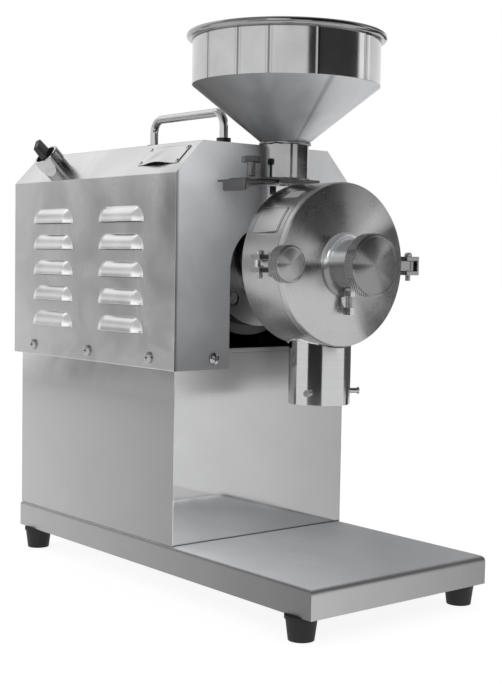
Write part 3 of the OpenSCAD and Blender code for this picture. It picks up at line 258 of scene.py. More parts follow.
CARDS = (
    # name, from angle, to angle, low edge, high edge, tone, distance
    ("front_card", -82, -31, 0.0, 0.42, 0.02, 1.7),
    ("right_card", 55, 118, 0.0, 0.5, 0.10, 2.2),
    ("side_card", 50, 94, 0.52, 0.74, 0.03, 2.2),
    ("high_card", -14, 52, 0.50, 1.6, 0.05, 2.2),
    ("upper_card", 48, 105, 1.05, 1.9, 0.12, 2.2),
    ("narrow_card", -30, 20, 0.195, 0.345, 0.01, 1.0),
    ("left_card", -150, -134, 0.0, 0.62, 0.34, 2.2),
    ("white_card", -3, 18, 0.345, 0.52, 1.0, 0.88),
)
LYING_CARDS = (("floor_card", 1.42, -0.37, 1.35, 0.50), ("near_card", 0.64, -0.31, 0.24, 0.24))
for numbers in CARDS:
    card(*numbers)
for name, x, y, wide, deep in LYING_CARDS:
    lying = card(name, 58, 118, 0.0, 1.0, 0.04, 2.2)
    lying.matrix_world = shift((x, y, 0.002)) @ Matrix.Diagonal((wide, deep, 1, 1))

# %% [markdown]
# ## Finishes: the common tools
# Every finish is a Principled shader with patterns in Object coordinates. The solids sit at the
# origin in metres, so a Noise scale of 1000 means features of about a millimetre on every piece alike.
# Folded and turned edges are never knife sharp: a Bevel node rounds the shading there, and where its
# normal leaves the face's own normal there is an edge, which gets a painted highlight in the colour,
# along with a little wear from handling.

# %% Finish tools
finishes = {}


def new_finish(name, metal=1.0, spin=0.0):
    """A new Principled material for the table of finishes, and the point on the piece, in metres."""
    made = bpy.data.materials.new(name)
    made.use_nodes = True
    shader = made.node_tree.nodes["Principled BSDF"]
    shader.inputs["Metallic"].default_value = metal
    shader.inputs["Anisotropic"].default_value = spin
    finishes[name] = made
    return made.node_tree, shader, wire(made.node_tree, "TexCoord").outputs["Object"]


def noise(at, scale, detail=2.0, twist=0.0):
    """A cloudy pattern between 0 and 1."""
    inputs = {"Vector": at, "Scale": scale, "Detail": detail, "Distortion": twist}
    return wire(at.id_data, "TexNoise", inputs).outputs["Fac"]


def streaks(at, scale, squeeze, turn=(0, 0, 0)):
    """A noise squeezed along one axis."""
    squeezed = wire(at.id_data, "Mapping", {"Vector": at, "Rotation": turn, "Scale": squeeze})
    return noise(squeezed.outputs[0], scale, 3.0)


def rounded(tree, radius):
    """The normal of faces with rounded edges."""
    return wire(tree, "Bevel", {"Radius": radius}, samples=6).outputs[0]


# Painted highlight on rounded edges, together with wear; the dark finishes use it for dust.
def edge_wear_and_sheen(normal):
    """1 on the rounded edges and 0 on flats."""
    plain = wire(normal.id_data, "NewGeometry").outputs["Normal"]
    return spread(vectors("DOT_PRODUCT", normal, plain), 0.99, 0.82)


def bumped(height, distance, normal):
    """The normal after a pattern has raised the surface by so many metres."""
    inputs = {"Strength": 1.0, "Distance": distance, "Height": height, "Normal": normal}
    return wire(height.id_data, "Bump", inputs).outputs[0]


def set_metal(shader, colour, roughness, height, depth, normal):
    """Links the three things that every finish here varies."""
    bump = bumped(height, depth, normal)
    for socket, source in (("Base Color", colour), ("Roughness", roughness), ("Normal", bump)):
        shader.id_data.links.new(source, shader.inputs[socket])


print("finish tools ready")

# %% [markdown]
# ## Satin sheet
# Tray, cabinet and cover are folded from sheet that left the mill with a fine straight grain, and they
# carry the cloudy smears of wiping. The grain is a noise squeezed along one axis, so that its spots
# become streaks. Each panel's tone also falls off from one end to the other, with its own amount on
# sides, fronts and tops: this is painted light, the studio's light falling off along the view. Faces
# that were blasted rather than brushed scatter light as paint does: those lose some of their Metallic
# and gain roughness. The cabinet's front is smooth enough to mirror the tray, and a painted reflection
# of the tray brightens its bottom up to a slanting line, with a dark joint where it stands in the tray.
# Painted shadow darkens the top of its front under the cover, and painted light brightens that top at
# the left end instead; painted light also brightens the top of its sides, and it grows duller under the
# cover. The cover's front is given painted shade towards its bottom.

# %% Satin sheet
tray_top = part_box("base_tray")[1].z
UPRIGHT_GRAIN, DEEP_GRAIN = (1, 1, 0.02), (1, 0.02, 1)
ALONG_VIEW = (0.772, -0.635, 0)
EVEN = (0, 1, 1, 1)
# The tray's painted reflection on the cabinet's front: its slope, its lower end and its top.
IMAGE_SLOPE, IMAGE_END, IMAGE_TOP = 0.362, (0.0886, 0.0906), (0.0922, 0.0937)


def satin_sheet(name, lay, smooth, side, front, top, matt=(0, 0, 0), climb=EVEN, side_height_light=EVEN,
                cloud=0.96, foot=0.0, blur=0.0, left=None):
    """Each group of four is two places and their tones, along the view or, for climb and lift, upwards.

    side, front and top paint light: the studio's light falling off along the view. climb paints shade
    on the fronts by height, and lift paints light on the sides by height. left is the upper tone of
    climb at the left end, foot the gain of the tray's painted reflection, and blur the roughness gained
    under the cover.
    """
    tree, shader, at = new_finish(name)
    lean = wire(tree, "TexCoord").outputs["Normal"]
    grain = streaks(at, 900.0, lay)
    smear = noise(at, 11.0, 5.0, 1.6)
    normal = rounded(tree, 0.0012)
    facing = parts(lean)
    ahead = spread(facing["Y"], -0.7, -0.95)
    upward = spread(facing["Z"], 0.6, 0.95)
    # Painted light: the tone falls off along the view, as the studio's light does.
    light_falloff_place = vectors("DOT_PRODUCT", at, ALONG_VIEW)
    height = parts(at)["Z"]
    # Painted shade by height on the fronts: towards the bottom on the cover, and at the top under the
    # cover on the cabinet, where painted light takes over at the left end.
    high_tone = climb[3] if left is None else spread(light_falloff_place, -0.05, 0.04, left, climb[3])
    front_height_shade = spread(height, *climb[:3], high_tone)
    # Painted reflection of the tray on the bottom of the cabinet's front, over its dark joint.
    if foot:
        slanting = maths("MULTIPLY_ADD", light_falloff_place, IMAGE_SLOPE, height)
        gain = blend(spread(height, *IMAGE_TOP, 1.0, 0.0), -0.16, foot)
        image = maths("MULTIPLY_ADD", spread(slanting, *IMAGE_END, 1.0, 0.0), gain, 1.0)
        joint = spread(height, tray_top + 0.0006, tray_top + 0.0018, 0.12)
        front_height_shade = maths("MULTIPLY", maths("MULTIPLY", front_height_shade, image), joint)
    fronts = maths("MULTIPLY", spread(light_falloff_place, *front), front_height_shade)
    # Painted light by height on the sides.
    sides = maths("MULTIPLY", spread(light_falloff_place, *side), spread(height, *side_height_light))
    tone = blend(ahead, sides, fronts)
    tone = blend(upward, tone, spread(light_falloff_place, *top))
    # Painted highlight on rounded edges, with wear, over the smears.
    smear_and_edge_sheen = maths("MULTIPLY_ADD", edge_wear_and_sheen(normal), 0.5, smear)
    patchy = greys(smear_and_edge_sheen, (0.3, cloud), (0.7, 2 - cloud), (1.0, 1.3))
    colour = multiply(patchy, tone)
    blasted = spread(vectors("DOT_PRODUCT", lean, matt), 0.6, 0.95)
    tree.links.new(spread(blasted, 0.0, 1.0, 1.0, 0.25), shader.inputs["Metallic"])
    rough = spread(smear, 0.3, 0.72, smooth - 0.02, smooth + 0.04)
    rough = maths("MULTIPLY_ADD", grain, 0.05, rough)
    rough = maths("MULTIPLY_ADD", blasted, 0.25, rough)
    if blur:
        under_cover = maths("MULTIPLY", spread(height, 0.180, 0.210, -0.08, blur), ahead)
        rough = maths("ADD", rough, under_cover)
    set_metal(shader, colour, rough, grain, 0.000005, normal)
    print(name, len(tree.nodes), "nodes")
    return tree, colour, shader


# The side, front, top, climb and lift tones in these calls are painted light and shade.
cover = satin_sheet("cover_sheet", UPRIGHT_GRAIN, 0.22, side=(-0.24, -0.05, 0.60, 0.56),
                    front=(-0.05, 0.12, 0.85, 0.75), top=(-0.2, 0.1, 0.55, 0.55), matt=(0, -1, 0),
                    climb=(0.22, 0.40, 0.36, 1.15), cloud=0.90)
satin_sheet("cabinet_sheet", UPRIGHT_GRAIN, 0.13, side=(-0.24, -0.05, 0.46, 0.30),
            front=(-0.05, 0.12, 0.53, 0.36), top=(-0.2, 0.1, 0.5, 0.5), climb=(0.190, 0.236, 1.0, 0.30),
            side_height_light=(0.186, 0.218, 1.0, 1.5), cloud=0.97, foot=0.9, blur=0.32, left=1.8)
satin_sheet("tray_sheet", DEEP_GRAIN, 0.36, side=(-0.237, 0.074, 0.46, 0.19),
            front=(0.074, 0.244, 0.47, 0.28), top=(-0.04, 0.15, 0.98, 0.44), matt=(0, 0, 1))
# The gate is a darker copy of the sheet: painted shade.
gate_shade_tone = (0, 1, 0.15, 0.15)
satin_sheet("shaded_gate_sheet", DEEP_GRAIN, 0.20, side=gate_shade_tone, front=gate_shade_tone, top=gate_shade_tone)

# %% [markdown]
# ## Louvres, a seam and a dark patch on the cover
# The cover is one sheet, but not one tone. The louvres' faces lean up or towards the front, so their
# normals find them, and they get a painted highlight. Painted shade darkens the fold at the front
# corner, and the side is darker in a soft patch beside it. The four factors are
# multiplied into the colour that the tool above had linked.

# %% Louvres, a seam and a dark patch on the cover
COVER_OUTSIDE, DARK_PATCH_Y, DARK_PATCH_Z = 0.0018, -0.046, 0.372
tree, colour, shader = cover
spot = wire(tree, "TexCoord").outputs
facing = parts(spot["Normal"])
cover_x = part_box("cabinet")[0].x - COVER_OUTSIDE
ahead = maths("MULTIPLY", facing["Y"], -1.0)
# Painted highlight on the louvres' faces that lean up or face the front.
up_highlight = greys(facing["Z"], (0.04, 1.0), (0.14, 1.3), (0.58, 1.3), (0.66, 1.0))
front_highlight = greys(ahead, (0.06, 1.0), (0.20, 1.45), (0.62, 1.45), (0.80, 1.0))
across = parts(spot["Object"])["X"]
# Painted shade along the fold at the front corner.
folded = spread(across, cover_x + 0.0006, cover_x + 0.0038, 0.25)
seam = blend(spread(ahead, 0.8, 0.95), 1.0, folded)
# The side is made darker in a soft patch beside the fold.
off = vectors("SUBTRACT", spot["Object"], (cover_x, DARK_PATCH_Y, DARK_PATCH_Z))
off = vectors("MULTIPLY", off, (1, 1, 0.5))
dark_patch = spread(vectors("LENGTH", off), 0.004, 0.032, 0.62, 1.0, interpolation_type="SMOOTHSTEP")
dark_patch = blend(spread(ahead, 0.1, 0.5), dark_patch, 1.0)
for factor in (up_highlight, front_highlight, seam, dark_patch):
    colour = multiply(colour, factor)
tree.links.new(colour, shader.inputs["Base Color"])
print("cover sheet has", len(tree.nodes), "nodes, its side is at x", round(cover_x, 4))

# %% [markdown]
# ## Hopper sheet
# The hopper's band was pressed round a little at a time, so it shows upright creases, closer together
# on one side than on the other. They are shallower than the sheet is thick, so they are drawn by the
# finish: the angle round the hopper's axis gives the distance to the nearest crease, and that distance
# gives a small ridge, with a dark and a light line painted along it as the shade and glint of the fold.
# The band and neck are polished; painted shade darkens the gate's plate, the neck, most of all at its
# left edge, and the rim. The cone is blasted, so it is rougher and scatters much of its light; painted
# shade makes it darker on one side, and its seam shows as a thin dark line.

# %% Hopper sheet
CREASES = (-166, -132, -94, -70, -51, -22, 13, 50, 86, 121, 160)
NECK_TOP, BAND_LOW, BAND_HIGH = 0.4361, 0.4901, 0.5325
# Painted shade and glint along each crease, by distance from it.
CREASE_SHADE_AND_GLINT = ((0.0, 0.35), (0.009, 0.50), (0.016, 1.05), (0.024, 0.95), (0.030, 0.78), (0.042, 1.0))
# Round the cone: painted shade, darker on one side, with the seam's dark line.
CONE_SHADE_AND_SEAM = ((0.0, 0.08), (0.12, 0.30), (0.30, 0.50), (0.45, 0.62), (0.60, 1.0), (0.755, 1.18),
           (0.778, 0.70), (0.802, 1.2), (1.0, 1.28))
# Painted shade by height: darkest on the gate's plate, then the rim, then the neck.
NECK_RIM_AND_PLATE_SHADE = ((0.0, 0.34), (0.071, 0.34), (0.072, 0.72), (0.88, 0.72), (0.89, 0.60))
hopper_mid = Vector((0, (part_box("hopper")[0].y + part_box("hopper")[1].y) / 2, 0))
tree, shader, at = new_finish("hopper_sheet")
part = parts(vectors("SUBTRACT", at, hopper_mid))
ahead = maths("MULTIPLY", part["Y"], -1.0)
angle = maths("ARCTAN2", part["X"], ahead)
gaps = [maths("SUBTRACT", angle, radians(crease)) for crease in CREASES]
gaps = [maths("ABSOLUTE", gap) for gap in gaps]
nearest = gaps[0]
for gap in gaps[1:]:
    nearest = maths("MINIMUM", nearest, gap)
above = maths("GREATER_THAN", part["Z"], BAND_LOW)
below = maths("LESS_THAN", part["Z"], BAND_HIGH)
on_band = maths("MULTIPLY", above, below)
on_cone = maths("GREATER_THAN", part["Z"], NECK_TOP)
on_cone = maths("SUBTRACT", on_cone, above)
ridge = spread(nearest, 0.0, 0.045, 1.0, 0.0, interpolation_type="SMOOTHSTEP")
sway = wire(tree, "TexNoise", {"W": angle, "Scale": 1.3, "Detail": 0.0}, noise_dimensions="1D")
wall = maths("MULTIPLY_ADD", sway.outputs["Fac"], 4.0, ridge)
pressed = maths("MULTIPLY", wall, on_band)
grain = streaks(at, 700.0, (1, 1, 0.03))
smear = noise(at, 16.0, 5.0, 1.2)
panel_bump = bumped(pressed, 0.0003, rounded(tree, 0.0006))
polish = spread(smear, 0.3, 0.72, 0.09, 0.16)
rough = maths("MULTIPLY_ADD", on_cone, 0.26, polish)
# Painted shade and glint on the band's creases.
crease_shading = blend(on_band, (1, 1, 1, 1), greys(nearest, *CREASE_SHADE_AND_GLINT), data_type="RGBA")
steel = greys(smear, (0.3, (0.44, 0.443, 0.446)), (0.7, (0.58, 0.58, 0.58)))
on_neck = maths("LESS_THAN", part["Z"], NECK_TOP)
# Painted shade round the cone.
blasted = greys(spread(angle, -2.1, 0.3), *CONE_SHADE_AND_SEAM)
# The hopper's painted shade and glint, gathered into one factor.
hopper_shading = blend(on_cone, crease_shading, blasted, data_type="RGBA")
ends = greys(spread(part["Z"], 0.39, 0.55), *NECK_RIM_AND_PLATE_SHADE)
# Painted shade on the neck's left edge.
neck_left_shade = greys(spread(angle, -2.3, -1.1), (0.0, 0.25), (0.55, 0.35), (0.75, 1.0))
ends = multiply(ends, neck_left_shade, on_neck)
not_wall = maths("SUBTRACT", 1.0, below)
elsewhere = maths("MAXIMUM", on_neck, not_wall)
hopper_shading = blend(elsewhere, hopper_shading, ends, data_type="RGBA")
colour = multiply(steel, hopper_shading)
tree.links.new(spread(on_cone, 0.0, 1.0, 1.0, 0.45), shader.inputs["Metallic"])
set_metal(shader, colour, rough, grain, 0.000006, panel_bump)
print("hopper sheet turns about", tuple(round(x, 4) for x in hopper_mid), "with", len(CREASES), "creases")

# %% [markdown]
# ## Turned and spun steel
# Drum, throat and flange came off a lathe, which leaves fine rings round the axis. The faces of the
# door and the knobs were faced on the lathe too, and such rings spread light across themselves: that
# is why a turned face shows bright and dark wedges. The Principled shader does it with Anisotropic,
# given a Tangent that points away from the axis. The turn of the piece has to carry it along, so the
# tangent goes from object to world space. A faced plate is never quite flat either: it falls away a
# little towards its rim, so its upper half mirrors the dark overhead and its lower half the floor. The
# flange gets a darker copy of the drum's steel, painted shade behind the drum. Rounded edges get a
# painted highlight in the colour. The boss is satin: it scatters part of its light, and painted shade
# makes its lower half darker.

# %% Turned and spun steel
def turned_steel(name, centre, along, tone, smooth, spin=0.0, dome=0.0, groove=0.000003,
                 metal=1.0, under=1.0):
    """A metal below 1 scatters like satin; under is the share of tone that the lower half keeps, as
    painted shade.
    """
    tree, shader, at = new_finish(name, metal, spin)
    arm = vectors("SUBTRACT", at, centre)
    across = vectors("MULTIPLY", arm, Vector((1, 1, 1)) - along)
    radius = vectors("LENGTH", across)
    depth = vectors("DOT_PRODUCT", arm, along)
    rings = noise(wire(tree, "CombineXYZ", {0: radius, 1: depth}).outputs[0], 1300.0, 4.0)
    smear = noise(at, 22.0, 5.0, 1.0)
    normal = rounded(tree, 0.0008)
    rough = spread(smear, 0.3, 0.72, smooth - 0.03, smooth + 0.03)
    rough = maths("MULTIPLY_ADD", rings, 0.05, rough)
    # Painted highlight on rounded edges, with wear, over the rings.
    tint = maths("MULTIPLY_ADD", edge_wear_and_sheen(normal), 0.5, rings)
    colour = greys(tint, (0.3, 0.95 * tone), (0.65, tone), (1.0, min(1.0, 1.4 * tone)))
    # Painted shade on the lower half.
    if under < 1.0:
        below = parts(arm)["Z"]
        colour = multiply(colour, spread(below, -0.004, 0.004, under))
    if dome:
        normal = bumped(maths("MULTIPLY", radius, radius), -dome, normal)
    set_metal(shader, colour, rough, rings, groove, normal)
    if spin:
        spaces = {"vector_type": "VECTOR", "convert_from": "OBJECT", "convert_to": "WORLD"}
        outwards = wire(tree, "VectorTransform", {0: across}, **spaces).outputs[0]
        tree.links.new(outwards, shader.inputs["Tangent"])
    print(name, "round", tuple(round(x, 4) for x in centre))


AHEAD, UPRIGHT = Vector((0, 1, 0)), Vector((0, 0, 1))
FACED = {"spin": 0.95, "groove": 0.000001}
door_low, door_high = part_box("door")
mill_axis = Vector((0, 0, (door_low.z + door_high.z) / 2))
clamp_low, clamp_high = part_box("clamp_knob")
clamp_axis = Vector(((clamp_low.x + clamp_high.x) / 2, 0, (clamp_low.z + clamp_high.z) / 2))
spout_low, spout_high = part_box("outlet_spout")
spout_axis = Vector(((spout_low.x + spout_high.x) / 2, (spout_low.y + spout_high.y) / 2, 0))
turned_steel("drum_steel", mill_axis, AHEAD, 0.42, 0.24)
# A darker copy of the drum's steel: painted shade on the flange behind the drum.
turned_steel("shaded_flange_steel", mill_axis, AHEAD, 0.26, 0.26)
turned_steel("boss_steel", mill_axis, AHEAD, 0.90, 0.15, metal=0.70, under=0.30)
turned_steel("door_steel", mill_axis, AHEAD, 0.50, 0.25, dome=3.0, **FACED)
turned_steel("spout_steel", spout_axis, UPRIGHT, 0.55, 0.08)

# %% [markdown]
# ## Bright steel
# Screws, nuts, pins, the handle and the switch's collar are polished or plated. Mirrors need something
# to break them: faint scratches in roughness, and a rounded edge that catches the lamps. A knurl's
# valleys turn dark, with grime and painted shade together, and how far a point lies from the knob's
# axis tells tip from valley.

# %% Bright steel
def bright_steel(name, tone, smooth, edge_radius, centre=None, along=None, tip=0.0, tooth=0.0):
    """With a centre, the valleys of a knurl, a tooth's depth below its tips, turn dark with grime and
    painted shade.
    """
    tree, shader, at = new_finish(name)
    scratch = streaks(at, 1500.0, (1, 0.1, 1), (0.5, 0.3, 0.9))
    dull = noise(at, 90.0, 4.0, 0.5)
    rough = spread(dull, 0.3, 0.7, smooth - 0.04, smooth + 0.06)
    rough = maths("MULTIPLY_ADD", scratch, 0.08, rough)
    colour = greys(dull, (0.3, 0.9 * tone), (0.7, tone))
    # Grime and painted shade in the knurl's valleys.
    if centre:
        arm = vectors("MULTIPLY", vectors("SUBTRACT", at, centre), Vector((1, 1, 1)) - along)
        valley_dirt_and_shade = spread(vectors("LENGTH", arm), tip - tooth, tip - 0.2 * tooth, 0.15, 1.2)
        colour = multiply(colour, valley_dirt_and_shade)
    set_metal(shader, colour, rough, scratch, 0.000004, rounded(tree, edge_radius))
    print(name, len(tree.nodes), "nodes")


BRIGHT_STEELS = (
    # name, tone, roughness, edge radius
    ("bolt_steel", 0.58, 0.16, 0.0005),
    ("rod_steel", 0.60, 0.10, 0.0005),
    ("chrome", 0.52, 0.07, 0.0005),
    ("bracket_steel", 0.36, 0.22, 0.0008),
    ("weld_steel", 0.32, 0.26, 0.0003),
    ("fresh_weld", 0.85, 0.25, 0.0003),
    ("black_nut", 0.05, 0.30, 0.0006),
    ("screw_steel", 0.42, 0.12, 0.0005),
)
for numbers in BRIGHT_STEELS:
    bright_steel(*numbers)

# %% [markdown]
# ## Plate, rubber, plastic and paint
# The bare plate is brushed aluminium. The black parts differ by how they break the light: rubber is
# dull and dusty, moulded plastic has a fine leather-like grain, and the motor's paint has the soft
# orange peel of a dipped coat.

# %% Plate, rubber, plastic and paint
def brushed_plate(name, tone):
    """Aluminium or foil with a straight grain."""
    tree, shader, at = new_finish(name)
    brush = streaks(at, 1500.0, (1, 0.03, 1))
    colour = greys(brush, (0.3, 0.93 * tone), (0.7, tone))
    rough = spread(brush, 0.3, 0.7, 0.28, 0.38)
    set_metal(shader, colour, rough, brush, 0.000004, rounded(tree, 0.0003))
    print(name, "tone", tone)


def dark_finish(name, tone, rough_low, rough_high, grain_scale, depth, dust):
    """A finish that isn't metal, with a grain, and with dust on its worn edges."""
    tree, shader, at = new_finish(name, metal=0.0)
    grain = noise(at, grain_scale, 3.0)
    cloud = noise(at, 35.0, 4.0, 0.8)
    normal = rounded(tree, 0.0007)
    worn = maths("MULTIPLY_ADD", edge_wear_and_sheen(normal), 0.4, cloud)
    colour = greys(worn, (0.35, tone), (0.75, tone + dust), (1.0, tone + 2.5 * dust))
    rough = spread(cloud, 0.3, 0.7, rough_low, rough_high)
    set_metal(shader, colour, rough, grain, depth, normal)
    print(name, "tone", tone)


brushed_plate("plate_aluminium", 0.66)
brushed_plate("label_foil", 0.56)
DARK_FINISHES = (
    # name, tone, low roughness, high roughness, scale of the grain, its depth, dust
    ("rubber", 0.007, 0.55, 0.75, 1400.0, 0.00005, 0.006),
    ("black_plastic", 0.014, 0.30, 0.42, 1800.0, 0.00003, 0.006),
    ("motor_paint", 0.012, 0.28, 0.40, 320.0, 0.00006, 0.008),
    ("label_ink", 0.03, 0.40, 0.55, 1500.0, 0.00001, 0.01),
    ("patch_paper", 0.36, 0.45, 0.6, 1500.0, 0.00001, 0.03),
)
for numbers in DARK_FINISHES:
    dark_finish(*numbers)

# %% [markdown]
# ## Iron, copper and sheet packs
# Inside, and seen only with the door open or from below, are the grinding discs of cast iron, the
# motor's windings and the sheet pack they sit in. Cast iron gets pits, the windings get the bands of
# their wires, and the pack the thin lines of its sheets, both from a Wave texture.

# %% Iron, copper and sheet packs
tree, shader, at = new_finish("grinding_iron")
pits = noise(at, 900.0, 6.0)
colour = greys(pits, (0.3, 0.16), (0.7, 0.27))
rough = spread(pits, 0.3, 0.7, 0.55, 0.35)
set_metal(shader, colour, rough, pits, 0.00012, rounded(tree, 0.0006))


def banded_metal(name, way, bands, first, second, roughness):
    """Stripes of two colours across one axis."""
    tree, shader, at = new_finish(name)
    inputs = {"Vector": at, "Scale": bands, "Distortion": 0.4, "Detail": 1.0}
    stripe = wire(tree, "TexWave", inputs, bands_direction=way).outputs["Fac"]
    colour = greys(stripe, (0.2, first), (0.8, second))
    rough = spread(stripe, 0.0, 1.0, roughness, roughness + 0.15)
    set_metal(shader, colour, rough, stripe, 0.0001, rounded(tree, 0.0004))
    print(name, "bands along", way)


banded_metal("winding_copper", "Z", 300.0, (0.42, 0.18, 0.07), (0.65, 0.30, 0.13), 0.30)
banded_metal("sheet_pack", "Y", 300.0, (0.18, 0.18, 0.19), (0.36, 0.36, 0.37), 0.38)

# %% [markdown]
# ## Dressing the solids
# Each solid's material slot now gets its finish. A table of finish to names is easier to read, and to
# change, than sixty lines of assignments. The count at the end shows whether a solid was forgotten.

# %% Dressing the solids
wardrobe = {
    "cover_sheet": "motor_cover",
    "cabinet_sheet": "cabinet motor_deck",
    "tray_sheet": "base_tray",
    "shaded_gate_sheet": "slide_gate gate_rails",
    "hopper_sheet": "hopper",
    "drum_steel": "grinding_drum feed_throat feed_auger disc_carrier",
    "shaded_flange_steel": "mill_flange",
    "boss_steel": "adjuster_boss adjusting_screw motor_shaft",
    "door_steel": "door",
    "spout_steel": "outlet_spout inlet_tube",
    "screw_steel": "cover_screws",
    "bolt_steel": "foot_screws handle_nuts plate_rivets flange_bolts motor_bolts pivot_bolts bag_pegs "
                  "lock_nut lock_screw disc_nut carrier_pins ball_bearings gate_thumb_screw switch_nut "
                  "adjusting_knob clamp_knob",
    "rod_steel": "top_handle clamp_bolt",
    "chrome": "switch_collar",
    "bracket_steel": "drum_ears door_lugs door_knuckle",
    "black_nut": "handle_collars",
    "plate_aluminium": "name_plate",
    "label_foil": "drum_label",
    "rubber": "rubber_feet",
    "black_plastic": "switch_block switch_lever cord_gland capacitor cooling_fan",
    "motor_paint": "motor_frame motor_front_bell motor_rear_bell fan_cover",
    "grinding_iron": "turning_disc front_disc",
    "winding_copper": "stator_windings",
    "sheet_pack": "stator_core rotor_core",
}
dressed = set()
for finish, names in wardrobe.items():
    for name in names.split():
        for place in solids[name].material_slots:
            place.material = finishes[finish]
        dressed.add(name)
print("dressed", len(dressed), "of", len(solids), "still bare:", sorted(set(solids) - dressed))

# %% [markdown]
# ## Modelling tools
# The pieces below start from a primitive and are shaped in edit mode. An operator acts on whatever is
# selected, so small helpers keep that under control. The last of them applies the finished piece's
# place and lets it ride on a body of the frame.

# %% Modelling tools
def start(name, primitive, **sizes):
    """Adds a primitive at the origin and opens it in edit mode."""
    piece = add(name, primitive, **sizes)
    piece.data.name = name
    bpy.ops.object.mode_set(mode="EDIT")
    return piece


def choose(piece, kind, test):
    """Selects the corners, edges or faces whose place and direction pass a test."""
    bpy.ops.mesh.select_mode(type=kind)
    bpy.ops.mesh.select_all(action="DESELECT")
    mesh = bmesh.from_edit_mesh(piece.data)
    chosen = 0
    for part in {"VERT": mesh.verts, "EDGE": mesh.edges, "FACE": mesh.faces}[kind]:
        if kind == "VERT":
            place, way = part.co, part.normal
        elif kind == "EDGE":
            first, last = (corner.co for corner in part.verts)
            place, way = (first + last) / 2, (last - first).normalized()
        else:
            place, way = part.calc_center_median(), part.normal
        if test(place, way):
            part.select_set(True)
            chosen += 1
    mesh.select_flush_mode()
    bmesh.update_edit_mesh(piece.data)
    return chosen


def pick_all():
    """Selects everything in edit mode."""
    bpy.ops.mesh.select_all(action="SELECT")


def object_mode():
    """Leaves edit mode, if it is on."""
    if bpy.context.mode != "OBJECT":
        bpy.ops.object.mode_set(mode="OBJECT")


def paint_chosen(piece, index):
    """Gives the selected faces another material slot."""
    piece.active_material_index = index
    bpy.ops.object.material_slot_assign()


def use_modifier(piece, kind, **settings):
    """Adds a modifier, sets it and applies it."""
    object_mode()
    bpy.context.view_layer.objects.active = piece
    modifier = piece.modifiers.new(kind, kind)
    for key, value in settings.items():
        setattr(modifier, key, value)
    bpy.ops.object.modifier_apply(modifier=modifier.name)


def hand_over(piece, body, place=Matrix.Identity(4), stands_for=()):
    """Puts a piece in its place for good and lets it ride on a body."""
    object_mode()
    bpy.ops.object.select_all(action="DESELECT")
    piece.select_set(True)
    bpy.context.view_layer.objects.active = piece
    piece.matrix_world = place @ piece.matrix_world
    bpy.ops.object.transform_apply()
    bpy.ops.object.shade_smooth_by_angle(angle=radians(32))
    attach(piece, body)
    if stands_for:
        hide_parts(*stands_for)
    print(piece.name, len(piece.data.polygons), "faces, rides on", body)


FACE_FRONT = Matrix.Rotation(pi / 2, 4, "X")
print("modelling tools ready")

# %% [markdown]
# ## A knurled knob
# The adjusting knob and the clamp's knob are steel discs with a diamond knurl: two sets of slanting
# grooves that leave small pyramids. Each gets a turned face and a grip of its own, round its own axis.
# Cutting grooves with booleans would be slow and messy. Poking a grid of squares and dissolving the old
# grid lines turns it into a grid of diamonds, and poking those again with an offset raises the
# pyramids. The rims are chamfered, and the front has a shallow turned step.

# %% A knurled knob
STEP_WIDE, STEP_DEEP = 0.0012, 0.00025


def knurled_knob(name, axis, along, radius, height, chamfer, pitch, tooth):
    """An upright knob, left in edit mode; its grip's finish turns round the given axis."""
    bright_steel(name + "_grip", 0.50, 0.16, 0.0002, axis, along, radius, tooth)
    columns = round(2 * pi * radius / pitch)
    rows = round((height - 2 * chamfer) / pitch)
    half = height / 2 - chamfer

    def wall(place, way):
        return abs(way.z) < 0.05

    def old_line(place, way):
        on_wall = abs(place.z) < half - 1e-5 and place.xy.length > radius * 0.9
        return on_wall and not 0.01 < abs(way.z) < 0.99

    knob = start(name, bpy.ops.mesh.primitive_cylinder_add, vertices=columns, radius=radius - tooth,
                 depth=height)
    choose(knob, "EDGE", lambda p, d: abs(abs(p.z) - height / 2) < 1e-6)
    bpy.ops.mesh.bevel(offset=chamfer, segments=2, affect="EDGES")
    for row in range(1, rows):
        choose(knob, "FACE", wall)
        bpy.ops.mesh.bisect(plane_co=(0, 0, (2 * row / rows - 1) * half), plane_no=(0, 0, 1))
    choose(knob, "FACE", wall)
    bpy.ops.mesh.poke()
    choose(knob, "EDGE", old_line)
    bpy.ops.mesh.dissolve_edges(use_verts=False)
    diamonds = choose(knob, "FACE", wall)
    bpy.ops.mesh.poke(offset=tooth)
    choose(knob, "FACE", lambda p, n: n.z > 0.99)
    bpy.ops.mesh.inset(thickness=STEP_WIDE)
    bpy.ops.mesh.extrude_region_move(TRANSFORM_OT_translate={"value": (0, 0, -STEP_DEEP)})
    for finish in (name + "_face", name + "_grip"):
        knob.data.materials.append(finishes[finish])
    choose(knob, "FACE", lambda p, n: abs(p.z) < half and p.xy.length > radius - 1.6 * tooth)
    paint_chosen(knob, 1)
    print(name, columns, "columns", rows, "rows", diamonds, "diamonds")
    return knob


def front_knob(node, body, axis, tone, dome, pitch, tooth):
    """A knob that faces the front and stands for a solid."""
    low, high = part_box(node)
    name = "knurled_" + node
    turned_steel(name + "_face", axis, AHEAD, tone, 0.27, dome=dome, **FACED)
    knob = knurled_knob(name, axis, AHEAD, (high.x - low.x) / 2, high.y - low.y, 0.001, pitch, tooth)
    hand_over(knob, body, shift(middle(node)) @ FACE_FRONT, [node])


front_knob("adjusting_knob", "adjuster", mill_axis, tone=0.28, dome=7.0, pitch=0.0027, tooth=0.0007)

# %% [markdown]
# The clamp's knob is the same piece in a smaller size, so the same steps make it. Its size comes from
# the solid that it stands for.

# %% The clamp's knob
front_knob("clamp_knob", "clamp_knob", clamp_axis, tone=0.38, dome=11.0, pitch=0.0023, tooth=0.0006)

